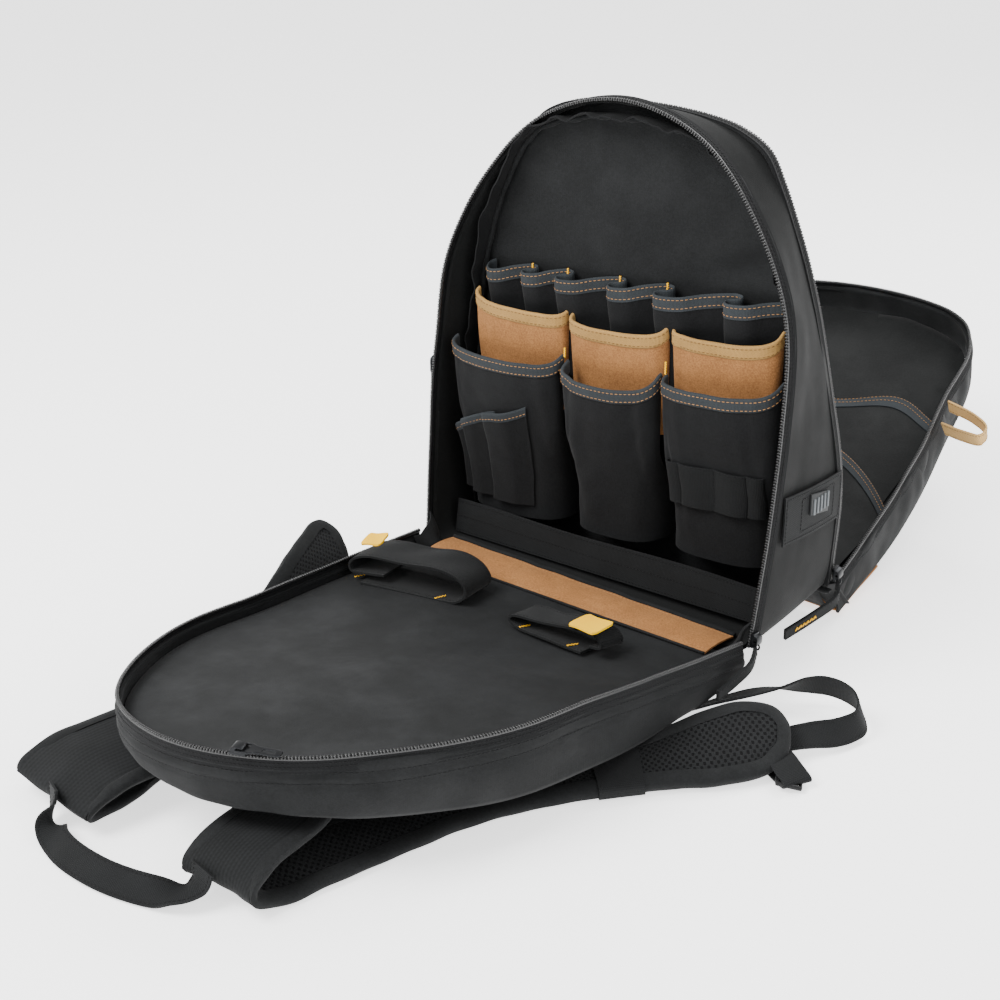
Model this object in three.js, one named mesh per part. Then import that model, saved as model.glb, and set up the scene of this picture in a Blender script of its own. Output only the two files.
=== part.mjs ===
// Tool backpack, opened flat on the floor in its three zip sections.
// Millimetres, +Z up. X runs along the two hinge lines, -Y is the side of the
// harness tray, +Y the side of the front panel. The floor is z = 0.
import * as THREE from 'three';

// Driving sizes
const BAG_W = 375;            // greatest width of the standing section over its front rim
const BAG_H = 450;            // height of the standing section, measured along its rim plane
const HINGE_Z = 42.5;         // height of the front hinge line over the floor
const DEPTH = 158;            // hinge line to hinge line, the foot of the standing section
const REAR_Z = 43.7;          // height of the rear hinge line
const LEAN_FRONT = 7.48;      // degrees that the front rim plane leans back
const LEAN_REAR = 6.69;       // degrees that the rear rim plane leans forward
const TRAY_Z = 59.7;          // tray rim height at the hinge
const TRAY_RISE = 0.104;      // tray rim rise per mm towards its far end
const TRAY_SKEW = 0.10;       // sideways drift of the tray per mm
const TRAY_ROLL = 0.0955;     // sideways tilt of the tray, full from TRAY_ROLL_AT on
const TRAY_ROLL_AT = 200;
const LID_LAY = 71.83;        // degrees that the front section is folded back from upright
const CLOTH = 1.6;            // pocket cloth
const WALL = 3.0;             // padded wall
const GAP = 0.4;              // clearance between neighbouring pieces
const FOOT_R = 16;            // rounding of the foot corners
const DIVIDER_AT = 0.62025;   // share of the depth at which the divider stands
const MIDDLE = 0.4444;        // share of the height of the middle of the tray and the lid

// Share of the height, and half widths of the three rims as shares of half the bag's width.
const RIM = [
  // share  front   rear    lid
  [0.000, 0.9776, 0.9664, 0.9664],
  [0.220, 1.0000, 1.0112, 0.9509],
  [0.450, 1.0021, 0.9595, 0.9072],
  [0.660, 0.9451, 0.8613, 0.8245],
  [0.840, 0.7152, 0.7291, 0.7659],
  [0.955, 0.4224, 0.5813, 0.5781],
  [1.000, 0.0000, 0.0000, 0.0000],
];
const REAR_H = BAG_H * 0.975;
const LID_H = BAG_H * 1.026;
const TRAY_MID = BAG_H * MIDDLE;
// The point lists of the pockets, the harness and the loops are drawn for this width and
// height, and wide and drawn carry them over to the bag's own.
const DRAWN_FOR = [375, 450];
const wide = (x) => x * BAG_W / DRAWN_FOR[0];
const drawn = (p) => [wide(p[0]), p[1] * BAG_H / DRAWN_FOR[1], p[2]];

// Small maths
const rad = (d) => d * Math.PI / 180;
const lerp = (a, b, t) => a + (b - a) * t;
const mix = (p, q, t) => [lerp(p[0], q[0], t), lerp(p[1], q[1], t), lerp(p[2], q[2], t)];
const sub = (p, q) => [p[0] - q[0], p[1] - q[1], p[2] - q[2]];
const add = (p, q, k = 1) => [p[0] + q[0] * k, p[1] + q[1] * k, p[2] + q[2] * k];
const cross = (a, b) => [a[1] * b[2] - a[2] * b[1], a[2] * b[0] - a[0] * b[2], a[0] * b[1] - a[1] * b[0]];
const dot = (a, b) => a[0] * b[0] + a[1] * b[1] + a[2] * b[2];
const unit = (a) => a.map((c) => c / (Math.hypot(...a) || 1));
const clamp = (v, a, b) => Math.min(b, Math.max(a, v));
const smooth = (t) => clamp(t, 0, 1) ** 2 * (3 - 2 * clamp(t, 0, 1));
const bell = (x, c, w) => Math.exp(-(((x - c) / w) ** 2));

// Solids from grids
function body(verts, tris) {
  let vol = 0;
  for (const [a, b, c] of tris) vol += dot(verts[a], cross(verts[b], verts[c]));
  const idx = vol < 0 ? tris.map(([a, b, c]) => [a, c, b]) : tris;
  const g = new THREE.BufferGeometry();
  g.setAttribute('position', new THREE.Float32BufferAttribute(verts.flat(), 3));
  g.setIndex(idx.flat());
  g.computeVertexNormals();
  return g;
}

// A sheet of even thickness about the grid of points P(u, v).
function sheet(P, nu, nv, t, o = {}) {
  const cu = o.loopU || false;
  const cols = cu ? nu : nu + 1;
  const p = [];
  for (let i = 0; i < cols; i += 1) {
    p.push([]);
    for (let j = 0; j <= nv; j += 1) p[i].push(P(i / nu, j / nv));
  }
  const top = [];
  const low = [];
  const verts = [];
  for (let i = 0; i < cols; i += 1) {
    top.push([]);
    low.push([]);
    for (let j = 0; j <= nv; j += 1) {
      const a = cu ? p[(i - 1 + cols) % cols][j] : p[Math.max(i - 1, 0)][j];
      const b = cu ? p[(i + 1) % cols][j] : p[Math.min(i + 1, nu)][j];
      const c = p[i][Math.max(j - 1, 0)];
      const d = p[i][Math.min(j + 1, nv)];
      const n = unit(cross(sub(b, a), sub(d, c)));
      const w = typeof t === 'function' ? t(i / nu, j / nv) : t;
      top[i].push(verts.push(add(p[i][j], n, w / 2)) - 1);
      low[i].push(verts.push(add(p[i][j], n, -w / 2)) - 1);
    }
  }
  const tris = [];
  const quad = (a, b, c, d) => tris.push([a, b, c], [a, c, d]);
  for (let i = 0; i < nu; i += 1) {
    const k = (i + 1) % cols;
    for (let j = 0; j < nv; j += 1) {
      quad(top[i][j], top[k][j], top[k][j + 1], top[i][j + 1]);
      quad(low[i][j + 1], low[k][j + 1], low[k][j], low[i][j]);
    }
    quad(low[i][0], low[k][0], top[k][0], top[i][0]);
    quad(top[i][nv], top[k][nv], low[k][nv], low[i][nv]);
  }
  if (!cu) {
    for (let j = 0; j < nv; j += 1) {
      quad(top[0][j], top[0][j + 1], low[0][j + 1], low[0][j]);
      quad(low[nu][j], low[nu][j + 1], top[nu][j + 1], top[nu][j]);
    }
  }
  return body(verts, tris);
}

// A panel that fills a loop of points: rings run in to the middle, lift() sets each point
// on its surface, N is the face direction.
function panel(loop, rings, t, N, lift, centre) {
  const n = loop.length;
  const c = centre || loop.reduce((s, q) => add(s, q, 1 / n), [0, 0, 0]);
  const verts = [];
  const top = [];
  const low = [];
  const put = (q, r) => {
    const m = lift ? lift(q, r) : q;
    const w = typeof t === 'function' ? t(m, r) : t;
    return [verts.push(add(m, N, w / 2)) - 1, verts.push(add(m, N, -w / 2)) - 1];
  };
  const mid = put(c, 0);
  for (let k = 1; k <= rings; k += 1) {
    const r = k / rings;
    const a = [];
    const b = [];
    for (let i = 0; i < n; i += 1) {
      const s = put(mix(c, loop[i], r), r);
      a.push(s[0]);
      b.push(s[1]);
    }
    top.push(a);
    low.push(b);
  }
  const tris = [];
  for (let i = 0; i < n; i += 1) {
    const j = (i + 1) % n;
    tris.push([mid[0], top[0][i], top[0][j]], [mid[1], low[0][j], low[0][i]]);
    for (let k = 1; k < rings; k += 1) {
      tris.push([top[k - 1][i], top[k][i], top[k][j]], [top[k - 1][i], top[k][j], top[k - 1][j]]);
      tris.push([low[k - 1][i], low[k][j], low[k][i]], [low[k - 1][i], low[k - 1][j], low[k][j]]);
    }
    const e = rings - 1;
    tris.push([top[e][i], low[e][i], low[e][j]], [top[e][i], low[e][j], top[e][j]]);
  }
  return body(verts, tris);
}

// A section swept along points. Each point carries its own sideways direction S; the
// section's first number runs along S, its second along the outward direction N.
function sweep(pts, S, N, section, closed = false) {
  const verts = [];
  const rows = [];
  pts.forEach((p, i) => {
    const s = typeof S === 'function' ? S(i / (pts.length - 1), p) : S;
    const n = typeof N === 'function' ? N(i / (pts.length - 1), p) : N;
    const sec = typeof section === 'function' ? section(i / (pts.length - 1)) : section;
    rows.push(sec.map(([a, b]) => verts.push(add(add(p, s, a), n, b)) - 1));
  });
  const tris = [];
  const m = rows[0].length;
  const last = closed ? rows.length : rows.length - 1;
  for (let i = 0; i < last; i += 1) {
    const r = rows[i];
    const q = rows[(i + 1) % rows.length];
    for (let k = 0; k < m; k += 1) {
      const l = (k + 1) % m;
      tris.push([r[k], r[l], q[l]], [r[k], q[l], q[k]]);
    }
  }
  if (!closed) {
    for (let k = 1; k < m - 1; k += 1) {
      tris.push([rows[0][0], rows[0][k + 1], rows[0][k]]);
      const z = rows[rows.length - 1];
      tris.push([z[0], z[k], z[k + 1]]);
    }
  }
  return body(verts, tris);
}

const rect = (a0, a1, b0, b1) => [[a0, b0], [a1, b0], [a1, b1], [a0, b1]];

// Evenly spaced points on a smooth curve through the given ones.
function curve(points, n) {
  const c = new THREE.CatmullRomCurve3(points.map((q) => new THREE.Vector3(...q)), false, 'centripetal');
  return c.getSpacedPoints(n).map((q) => [q.x, q.y, q.z]);
}

// A flat strap along a path: across gives its width direction at each share of the length.
function strap(points, n, width, thick, across) {
  const pts = curve(points, n);
  const dirs = pts.map((p, i) => unit(sub(pts[Math.min(i + 1, n)], pts[Math.max(i - 1, 0)])));
  return sheet((u, v) => {
    const i = Math.round(u * n);
    const a = typeof across === 'function' ? across(u, pts[i]) : across;
    const s = unit(add(a, dirs[i], -dot(a, dirs[i])));
    const w = typeof width === 'function' ? width(u) : width;
    return add(pts[i], s, (v - 0.5) * w);
  }, n, 1, thick);
}

// The three rims
function arch(column, height, n) {
  const up = RIM.map((r) => [r[column] * BAG_W / 2, r[0] * height, 0]);
  const all = [...up.map(([x, s]) => [-x, s, 0]), ...up.slice(0, -1).reverse()];
  const run = curve(all, n - 2).map(([x, s]) => [x, s]);
  const foot = (p, q) => [lerp(p[0], q[0], 8 / q[1]), 8];
  const m = run.length - 1;
  return [run[0], foot(run[0], run[1]), ...run.slice(1, m), foot(run[m], run[m - 1]), run[m]];
}
const frontAt = (x, s, out = 0) => [x, s * Math.sin(rad(LEAN_FRONT)) - out * Math.cos(rad(LEAN_FRONT)),
  HINGE_Z + s * Math.cos(rad(LEAN_FRONT)) + out * Math.sin(rad(LEAN_FRONT))];
const rearAt = (x, s, out = 0) => [x, DEPTH - s * Math.sin(rad(LEAN_REAR)) + out * Math.cos(rad(LEAN_REAR)),
  REAR_Z + s * Math.cos(rad(LEAN_REAR)) + out * Math.sin(rad(LEAN_REAR))];
const trayAt = (x, s, down = 0) => [x - TRAY_SKEW * s, -s,
  TRAY_Z + TRAY_RISE * s + TRAY_ROLL * x * clamp(s / TRAY_ROLL_AT, 0, 1) - down];
const LID_DIR = [0, Math.sin(rad(LID_LAY)), Math.cos(rad(LID_LAY))];
const LID_OUT = [0, Math.cos(rad(LID_LAY)), -Math.sin(rad(LID_LAY))];
const lidAt = (x, s, down = 0) => add(add([x, DEPTH, REAR_Z], LID_DIR, s), LID_OUT, down);

const N_ARCH = 38;
const rimFront = arch(1, BAG_H, N_ARCH);
const rimRear = arch(2, REAR_H, N_ARCH);
const rimLid = arch(3, LID_H, N_ARCH);

const group = new THREE.Group();
group.name = 'tool_backpack';
let into = group;
function section(name) {
  into = new THREE.Group();
  into.name = name;
  group.add(into);
}
const cloth = (color, roughness = 0.9) => new THREE.MeshStandardMaterial({ color, roughness, metalness: 0 });
const MAT = {
  black_cloth: cloth(0x2b2d2f), panel_cloth: cloth(0x404243), mesh_cloth: cloth(0x232526, 0.95),
  grey_binding: cloth(0x484c4e, 0.8), tan_canvas: cloth(0xb07a4a), tan_binding: cloth(0xa5834f, 0.8),
  black_webbing: cloth(0x2e3032, 0.85),
  yellow_webbing: cloth(0xf8c445, 0.75),
  tan_webbing: cloth(0xc19a63, 0.85),
  zip_nylon: cloth(0x1b1c1d, 0.45), hard_plastic: cloth(0x1d1e20, 0.5),
  dark_metal: new THREE.MeshStandardMaterial({ color: 0x3a3c3f, roughness: 0.35, metalness: 0.9 }),
  patch_rubber: cloth(0x8b8f92, 0.6),
};
for (const [k, m] of Object.entries(MAT)) m.name = k;
function part(name, geometry, material) {
  const m = new THREE.Mesh(geometry, MAT[material]);
  m.name = name;
  into.add(m);
  return m;
}

// Standing section
section('standing_section');
// The ring wall: up one side, over the top, down the other and back along the foot.
const ZIP_W = 6.4;            // run of the zip chain at each rim
function ring(rimAt, rim) {
  const pts = [];
  const start = rim.findIndex(([, s]) => s > FOOT_R);
  for (let i = start; i <= N_ARCH - start; i += 1) pts.push(rimAt(...rim[i], -ZIP_W - 2 * GAP));
  const w = rim[0][0] * -1;
  const corner = (sx) => [0.25, 0.6, 0.85].map((t) => {
    const a = t * Math.PI / 2;
    return rimAt(sx * (w - FOOT_R * (1 - Math.cos(a))), FOOT_R * (1 - Math.sin(a)), -ZIP_W - GAP);
  });
  const foot = 9;
  const right = corner(1);
  const left = corner(-1).reverse();
  const base = [];
  for (let i = 0; i <= foot; i += 1) {
    base.push(rimAt(lerp(w - FOOT_R, FOOT_R - w, i / foot), 0, -ZIP_W - GAP));
  }
  return [...pts, ...right, ...base, ...left];
}
const ringFront = ring(frontAt, rimFront);
const ringRear = ring(rearAt, rimRear);
const RING_N = Math.min(ringFront.length, ringRear.length);
const RING_MID = [0, 0.4747 * DEPTH, 0.5556 * BAG_H];
function ringWall(u, v) {
  const k = Math.round(u * RING_N) % RING_N;
  const p = mix(ringFront[k], ringRear[k], v);
  const o = unit([p[0] - RING_MID[0], 0, p[2] - RING_MID[2]]);
  const foot = p[2] < HINGE_Z + 2 ? 1 : 0;
  const swell = foot ? 0 : 2.2;
  const fold = foot ? 0 : 0.9 * Math.sin(k * 1.7) * Math.sin(v * Math.PI);
  return add(p, o, (swell + fold) * Math.sin(v * Math.PI));
}
part('main_gusset', sheet(ringWall, RING_N, 2, WALL, { loopU: true }), 'black_cloth');

// Zip chains with their tapes, one on each rim.
const zipSection = rect(-2.4, 2.4, -ZIP_W, 0);
function zip(name, rim, at, outDir, from) {
  const pts = rim.filter(([, s]) => s >= from);
  const run = pts.map(([x, s]) => at(x, s));
  const n = run.length - 1;
  const S = (t) => {
    const i = Math.round(t * n);
    const d = unit(sub(run[Math.min(i + 1, n)], run[Math.max(i - 1, 0)]));
    return unit(cross(d, outDir));
  };
  part(name, sweep(run, S, outDir, zipSection), 'zip_nylon');
}
const FRONT_OUT = unit(sub(frontAt(0, 0, 1), frontAt(0, 0, 0)));
const REAR_OUT = unit(sub(rearAt(0, 0, 1), rearAt(0, 0, 0)));
zip('front_zip_chain', rimFront, frontAt, FRONT_OUT, 4);
zip('rear_zip_chain', rimRear, rearAt, REAR_OUT, 4);
zip('tray_zip_chain', rimFront, trayAt, [0, 0, 1], 6);
zip('lid_zip_chain', rimLid, lidAt, add([0, 0, 0], LID_OUT, -1), 6);

// The divider that carries the pockets: set inside the ring, leaning and a little askew.
const dividerY = (x, z) => DIVIDER_AT * DEPTH + 0.05 * x - 0.045 * (z - HINGE_Z);
const bulgeDivider = (x, z) => 3 * bell(z, 400, 60) * bell(x, 10, 90)
  - 2 * bell(z, 330, 40) * bell(x, 110, 40);
function dividerLoop() {
  const loop = [];
  for (let k = 0; k < RING_N; k += 1) {
    let v = 0.5;
    let q = ringWall(k / RING_N, v);
    for (let s = 0; s < 6; s += 1) {
      const f = ringWall(k / RING_N, 0)[1];
      const r = ringWall(k / RING_N, 1)[1];
      v = clamp((dividerY(q[0], q[2]) - f) / (r - f), 0.02, 0.98);
      q = ringWall(k / RING_N, v);
    }
    const a = ringWall(((k - 1 + RING_N) % RING_N) / RING_N, v);
    const b = ringWall(((k + 1) % RING_N) / RING_N, v);
    const d = unit(sub(b, a));
    const inw = unit([-d[2], 0, d[0]]);
    const s = dot(inw, sub(RING_MID, q)) > 0 ? 1 : -1;
    const e = add(q, inw, s * (WALL / 2 + GAP + 1.3));
    loop.push([e[0], dividerY(e[0], e[2]), e[2]]);
  }
  return loop;
}
const DIV_LOOP = dividerLoop();
part('divider_panel', panel(DIV_LOOP, 3, 2.4, [0, -1, 0],
  (q, r) => [q[0], dividerY(q[0], q[2]) - (1 - r * r) * bulgeDivider(q[0], q[2]) * 1.0, q[2]],
  [0, 0.6 * DEPTH, 0.5556 * BAG_H]), 'black_cloth');

// Pockets on the divider
// Each pocket is a cloth front that leaves the sheet behind it, swings forward and comes
// back: left and right root, height of its foot, rim height at both roots, dip of the rim,
// how far its roots stand off the divider, and how far it swells at the rim and foot.
const BIND_H = 13;
const BULGE_TOP = 0.62;       // squareness of the pocket in plan
function pocketFront(r) {
  return (u, z, out = 0) => {
    const a = u * Math.PI;
    const cx = Math.sign(Math.cos(a)) * Math.abs(Math.cos(a)) ** 0.72;
    const sy = Math.sin(a) ** BULGE_TOP;
    const top = lerp(r.zl, r.zr, u);
    const v = clamp((z - r.foot) / (top - r.foot), 0, 1.1);
    const off = lerp(CLOTH / 2 + 1.25, r.off, smooth((z - r.free) / r.flare));
    const swell = lerp(r.off + r.low, r.off + r.deep, smooth(v)) - off + out;
    const half = (r.xr - r.xl) / 2 - lerp(r.pinch, 0, smooth(v));
    const x = (r.xl + r.xr) / 2 - cx * (half + out);
    return [x, dividerY(x, z) - off - swell * sy, z];
  };
}
const rimZ = (r, u) => lerp(r.zl, r.zr, u) - r.dip * Math.sin(u * Math.PI) ** 0.8;
const footZ = (r, u) => lerp(r.foot, r.foot + (r.rise || 0), u);
function pocket(name, r, material, binding, nu = 12, nv = 3) {
  const f = pocketFront(r);
  const hem = (u) => rimZ(r, u) - BIND_H;
  part(name, sheet((u, v) => f(u, lerp(footZ(r, u), hem(u) - GAP, v)), nu, nv, CLOTH), material);
  part(`${name}_binding`, sheet((u, v) => f(u, lerp(hem(u) + 0.2, rimZ(r, u), v)), nu, 1, CLOTH + 2), binding);
}
const POCKETS = [
  // name            xl    xr    foot rise  zl   zr  dip off   deep low pinch
  ['tan_pocket_left', -160, -60, 190, 0, 296, 292, 8, 17.6, 13, 8, 2],
  ['tan_pocket_middle', -54, 48, 190, 0, 290, 300, 10, 17.6, 14, 8, 2],
  ['tan_pocket_right', 54, 158, 195, 8, 298, 314, 10, 17.6, 13, 8, 2],
  ['black_pocket_left', -174, -54, 72, 8, 250, 254, 10, 35.5, 20, 8, 4],
  ['black_pocket_middle', -48, 50, 80, 7, 250, 258, 14, 35.5, 23, 10, 3],
  ['black_pocket_right', 56, 170, 87, 8, 258, 276, 10, 35.5, 21, 10, 4],
];
const pocketSizes = (row) => {
  const [name, left, right, foot, rise, zl, zr, dip, off, deep, low, pinch] = row;
  const hang = name.startsWith('tan') ? { free: 194, flare: 28 } : { free: 120, flare: 66 };
  return { xl: wide(left), xr: wide(right), foot, rise, zl, zr, dip, off, deep, low, pinch, ...hang };
};
for (const row of POCKETS) {
  const tan = row[0].startsWith('tan');
  pocket(row[0], pocketSizes(row), tan ? 'tan_canvas' : 'black_cloth', tan ? 'tan_binding' : 'grey_binding');
}

// Six narrow sleeves in one waving strip above the tan pockets.
const SLEEVES = [-158, -109, -70, -14, 35, 103, 160].map(wide);
const SLEEVE = { foot: 230, zl: 325, zr: 344, off: 4.2, deep: 12 };
function sleeveAt(u, z) {
  const k = Math.min(5, Math.floor(u * 6 + 1e-9));
  const t = u * 6 - k;
  const a = t * Math.PI;
  const c = Math.sign(Math.cos(a)) * Math.abs(Math.cos(a)) ** 0.8;
  const x = (SLEEVES[k] + SLEEVES[k + 1]) / 2 - c * ((SLEEVES[k + 1] - SLEEVES[k]) / 2 - 0.2);
  const w = Math.sin(a) ** 0.7;
  return [x, dividerY(x, z) - SLEEVE.off - SLEEVE.deep * w, z - 3 * w];
}
const sleeveTop = (u) => lerp(SLEEVE.zl, SLEEVE.zr, u);
const sleeveHem = (u) => sleeveTop(u) - BIND_H;
part('sleeve_strip', sheet((u, v) => sleeveAt(u, lerp(SLEEVE.foot, sleeveHem(u) - GAP, v)), 30, 2, CLOTH),
  'black_cloth');
part('sleeve_strip_binding', sheet((u, v) => sleeveAt(u, lerp(sleeveHem(u), sleeveTop(u), v)), 30, 1,
  CLOTH + 1.6), 'grey_binding');

// Pen sleeves on the left black pocket and a webbing strip with loops on the right one.
const blackL = pocketFront(pocketSizes(POCKETS[3]));
const blackR = pocketFront(pocketSizes(POCKETS[5]));
const penAt = (u, z) => {
  const q = blackL(lerp(0.17, 0.62, u), z, 0);
  const w = Math.abs(Math.sin(u * 3 * Math.PI)) ** 0.7;
  return [q[0], q[1] - 2.5 - 5 * w, q[2]];
};
const penTop = (u) => lerp(158, 200, u);
const PEN_BIND = 9;
const penHem = (u) => penTop(u) - PEN_BIND;
part('pen_sleeves', sheet((u, v) => penAt(u, lerp(92, penHem(u) - GAP, v)), 18, 2, 1.4), 'black_cloth');
part('pen_sleeves_binding', sheet((u, v) => penAt(u, lerp(penHem(u), penTop(u), v)), 18, 1, 2.8),
  'grey_binding');
part('loop_strip', sheet((u, v) => {
  const q = blackR(lerp(0.2, 0.8, u), lerp(140, 182, v) + 6 * u, 0);
  const w = Math.abs(Math.sin(u * 4 * Math.PI)) ** 0.6;
  return [q[0], q[1] - 2.55 - 2.6 * w, q[2]];
}, 24, 1, 1.6), 'black_webbing');

// Webbing across the foot of the pockets and along the base.
part('foot_band', sheet((u, v) => {
  const x = wide(lerp(-172, 170, u));
  const z = HINGE_Z + lerp(6.4, 39.5, v) + 0.02 * x;
  return [x, lerp(0.2278, 0.2595, v) * DEPTH + 0.02 * x, z];
}, 12, 2, 2), 'black_webbing');
const baseTop = HINGE_Z + WALL / 2;

// Tan hinge flap from the base over to the tray panel.
part('hinge_flap', sheet((u, v) => {
  const x = wide(lerp(-164, 160, u));
  return [x - 3 * v, lerp(20, -26, v), baseTop + 0.85 + 2.2 * Math.sin(v * Math.PI) + (1.3 + 0.012 * x) * v];
}, 12, 3, 1.8), 'tan_canvas');

// Cloth walls that hinge the tray and the front section on the base: they hang from the
// base's two long edges down to the folded-out sections.
function hingeWall(name, half, from, to, sag) {
  part(name, sheet((u, v) => {
    const z = lerp(from[1], to[1], v) - sag * Math.sin(v * Math.PI);
    return [wide(lerp(-half, half, u)), lerp(from[0], to[0], v), z];
  }, 6, 3, 2), 'black_cloth');
}
hingeWall('front_hinge_wall', 160, [8.0, HINGE_Z - 3.6], [-8.0, TRAY_Z - 31.5], 0.5);
hingeWall('rear_hinge_wall', 170, [DEPTH - 7.4, REAR_Z - 3.0], [DEPTH + 19.3, REAR_Z - 34.5], 1.2);

// Harness tray
section('harness_tray');
const TRAY_IN = 19;           // how far its lining lies below the rim
const trayDeep = (x, s) => 38 + 26 * smooth(s / TRAY_MID) * lerp(0.35, 1, smooth((x + 120) / 240))
  - 13 * smooth((s / BAG_H - 0.5778) / 0.4222);
function trayLoop(down, inset, back) {
  const out = [];
  for (const [x, s] of rimFront) {
    if (s < 8) continue;
    const k = 1 - inset / Math.hypot(x, s - TRAY_MID);
    out.push([x * k, TRAY_MID + (s - TRAY_MID) * k, down(x, s)]);
  }
  const w = out[out.length - 1][0];
  const l = out[0][0];
  for (let i = 1; i < 12; i += 1) out.push([lerp(w, l, i / 12), back, down(0, back)]);
  return out;
}
const TRAY_I0 = rimFront.findIndex(([, s]) => s > 5);
part('tray_gusset', sheet((u, v) => {
  const i = Math.round(lerp(TRAY_I0, N_ARCH - TRAY_I0, u));
  const [x, s] = rimFront[i];
  const d = trayDeep(x, s);
  const o = unit([x, s - TRAY_MID, 0]);
  const belly = 3.2 * Math.sin(v * Math.PI) + 1.0 * Math.sin(i * 1.9) * Math.sin(v * Math.PI);
  return trayAt(x + o[0] * belly, s + o[1] * belly, lerp(ZIP_W + 2 * GAP, d, v));
}, N_ARCH - 2 * TRAY_I0, 2, WALL), 'black_cloth');
const liningSag = (x, s) => 6 * bell(x, -30, 130) * bell(s / BAG_H, 0.5556, 0.2667)
  - 3 * bell(x, 60, 60) * bell(s / BAG_H, 0.2667, 0.1333);
part('tray_lining', panel(trayLoop(() => 0, WALL / 2 + 0.9, 7).map(([x, s]) => [x, s, 0]), 3, 2, [0, 0, 1],
  ([x, s], r) => trayAt(x, s, TRAY_IN - (1 - r ** 3) * liningSag(x, s)), [0, TRAY_MID, 0]), 'panel_cloth');
part('tray_back', panel(trayLoop(() => 0, WALL / 2 + 0.9, 9).map(([x, s]) => [x, s, 0]), 2, 7, [0, 0, 1],
  ([x, s]) => trayAt(x, s, trayDeep(x, s) - 5), [0, TRAY_MID, 0]), 'mesh_cloth');
part('lumbar_pad', sheet((u, v) => {
  const x = wide(lerp(-120, 120, u));
  const s = lerp(24, 110, v);
  const z = trayAt(x, s, trayDeep(x, s) - 5)[2] - 6.5;
  return [x - TRAY_SKEW * s, -s, z / 2 + 0.1];
}, 8, 3, (u, v) => {
  const x = wide(lerp(-120, 120, u));
  const s = lerp(24, 110, v);
  return trayAt(x, s, trayDeep(x, s) - 5)[2] - 6.5 - 0.6;
}), 'mesh_cloth');

// Tool straps: wide hook-and-loop straps sewn to the lining and folded back over themselves.
// The rows give the path in the strap's own plane: run along the tray, height over the lining.
const liningZ = (x, s) => trayAt(x, s, TRAY_IN)[2] + 3.4;
function toolStrap(name, tabName, x0, s0, width, rows, turn, tab) {
  const path = curve(rows.map(([a, h]) => [a, 0, h]), 24);
  const along = [Math.cos(rad(turn)), Math.sin(rad(turn)), 0];
  const side = [-along[1], along[0], 0];
  const put = (a, h, w) => {
    const q = [x0 + along[0] * a + side[0] * w, -s0 + along[1] * a + side[1] * w, 0];
    const x = q[0] + TRAY_SKEW * -q[1];
    return [q[0], q[1], liningZ(x, -q[1]) + h];
  };
  part(name, sheet((u, v) => {
    const q = path[Math.round(u * 24)];
    const flare = 1 + 0.06 * Math.sin(u * 7);
    return put(q[0], q[2] + 1.2 * Math.sin(u * 9 + v * 2) * smooth(u * 3), (v - 0.5) * width * flare + 5 * u);
  }, 24, 2, 2.2), 'black_webbing');
  const [a0, a1, h0, h1, w0, w1, skew] = tab;
  part(tabName, sheet((u, v) => {
    const w = lerp(w0, w1, v) + skew * 0.3 * u;
    return put(lerp(a0, a1, u) + skew * v, lerp(h0, h1, u), w);
  }, 3, 1, 1.8), 'yellow_webbing');
}
toolStrap('left_tool_strap', 'left_strap_tab', wide(-128), 84, 44, [
  [-44, 0.75], [0, 0.75], [44, 0.75], [62, 4], [71, 15], [62, 28], [38, 33], [0, 29], [-38, 27], [-57, 19],
  [-58, 8.5], [-46, 8], [-20, 11],
], 8, [-64, -40, 25, 30, 8, 34, -6]);
toolStrap('right_tool_strap', 'right_strap_tab', wide(50), 90, 30, [
  [34, 0.3], [0, 0.3], [-32, 0.3], [-45, 3], [-50, 8], [-42, 13], [-10, 15], [20, 18], [40, 20], [50, 15],
  [51, 8], [40, 6.5],
], -4, [20, 50, 24.0, 24.5, -16, 16, -3]);

// Front section, folded back
section('front_section');
const lidDeep = (s) => 43 + 14 * smooth(s / LID_H / 0.3249) - 17 * smooth((s / LID_H - 0.6498) / 0.3465);
function lidLoop(inset, back) {
  const out = [];
  for (const [x, s] of rimLid) {
    if (s < 10) continue;
    const k = 1 - inset / Math.hypot(x, s - TRAY_MID);
    out.push([x * k, TRAY_MID + (s - TRAY_MID) * k, 0]);
  }
  const w = out[out.length - 1][0];
  const l = out[0][0];
  for (let i = 1; i < 10; i += 1) out.push([lerp(w, l, i / 10), back, 0]);
  return out;
}
const LID_I0 = rimLid.findIndex(([, s]) => s > 5);
part('lid_gusset', sheet((u, v) => {
  const i = Math.round(lerp(LID_I0, N_ARCH - LID_I0, u));
  const [x, s] = rimLid[i];
  const o = unit([x, s - TRAY_MID, 0]);
  const belly = 3 * Math.sin(v * Math.PI) + 1.1 * Math.sin(i * 2.3) * Math.sin(v * Math.PI);
  return lidAt(x + o[0] * belly, s + o[1] * belly, lerp(ZIP_W + 2 * GAP, lidDeep(s), v));
}, N_ARCH - 2 * LID_I0, 2, WALL), 'black_cloth');
const lidFloor = (x, s) => lidDeep(s) - 4 - 3 * bell(x, 20, 100) * bell(s / LID_H, 0.5631, 0.2599);
part('lid_panel', panel(lidLoop(WALL / 2 + 0.9, 9), 3, 3, add([0, 0, 0], LID_OUT, -1),
  ([x, s]) => lidAt(x, s, lidFloor(x, s)), [0, TRAY_MID, 0]), 'black_cloth');
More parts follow.
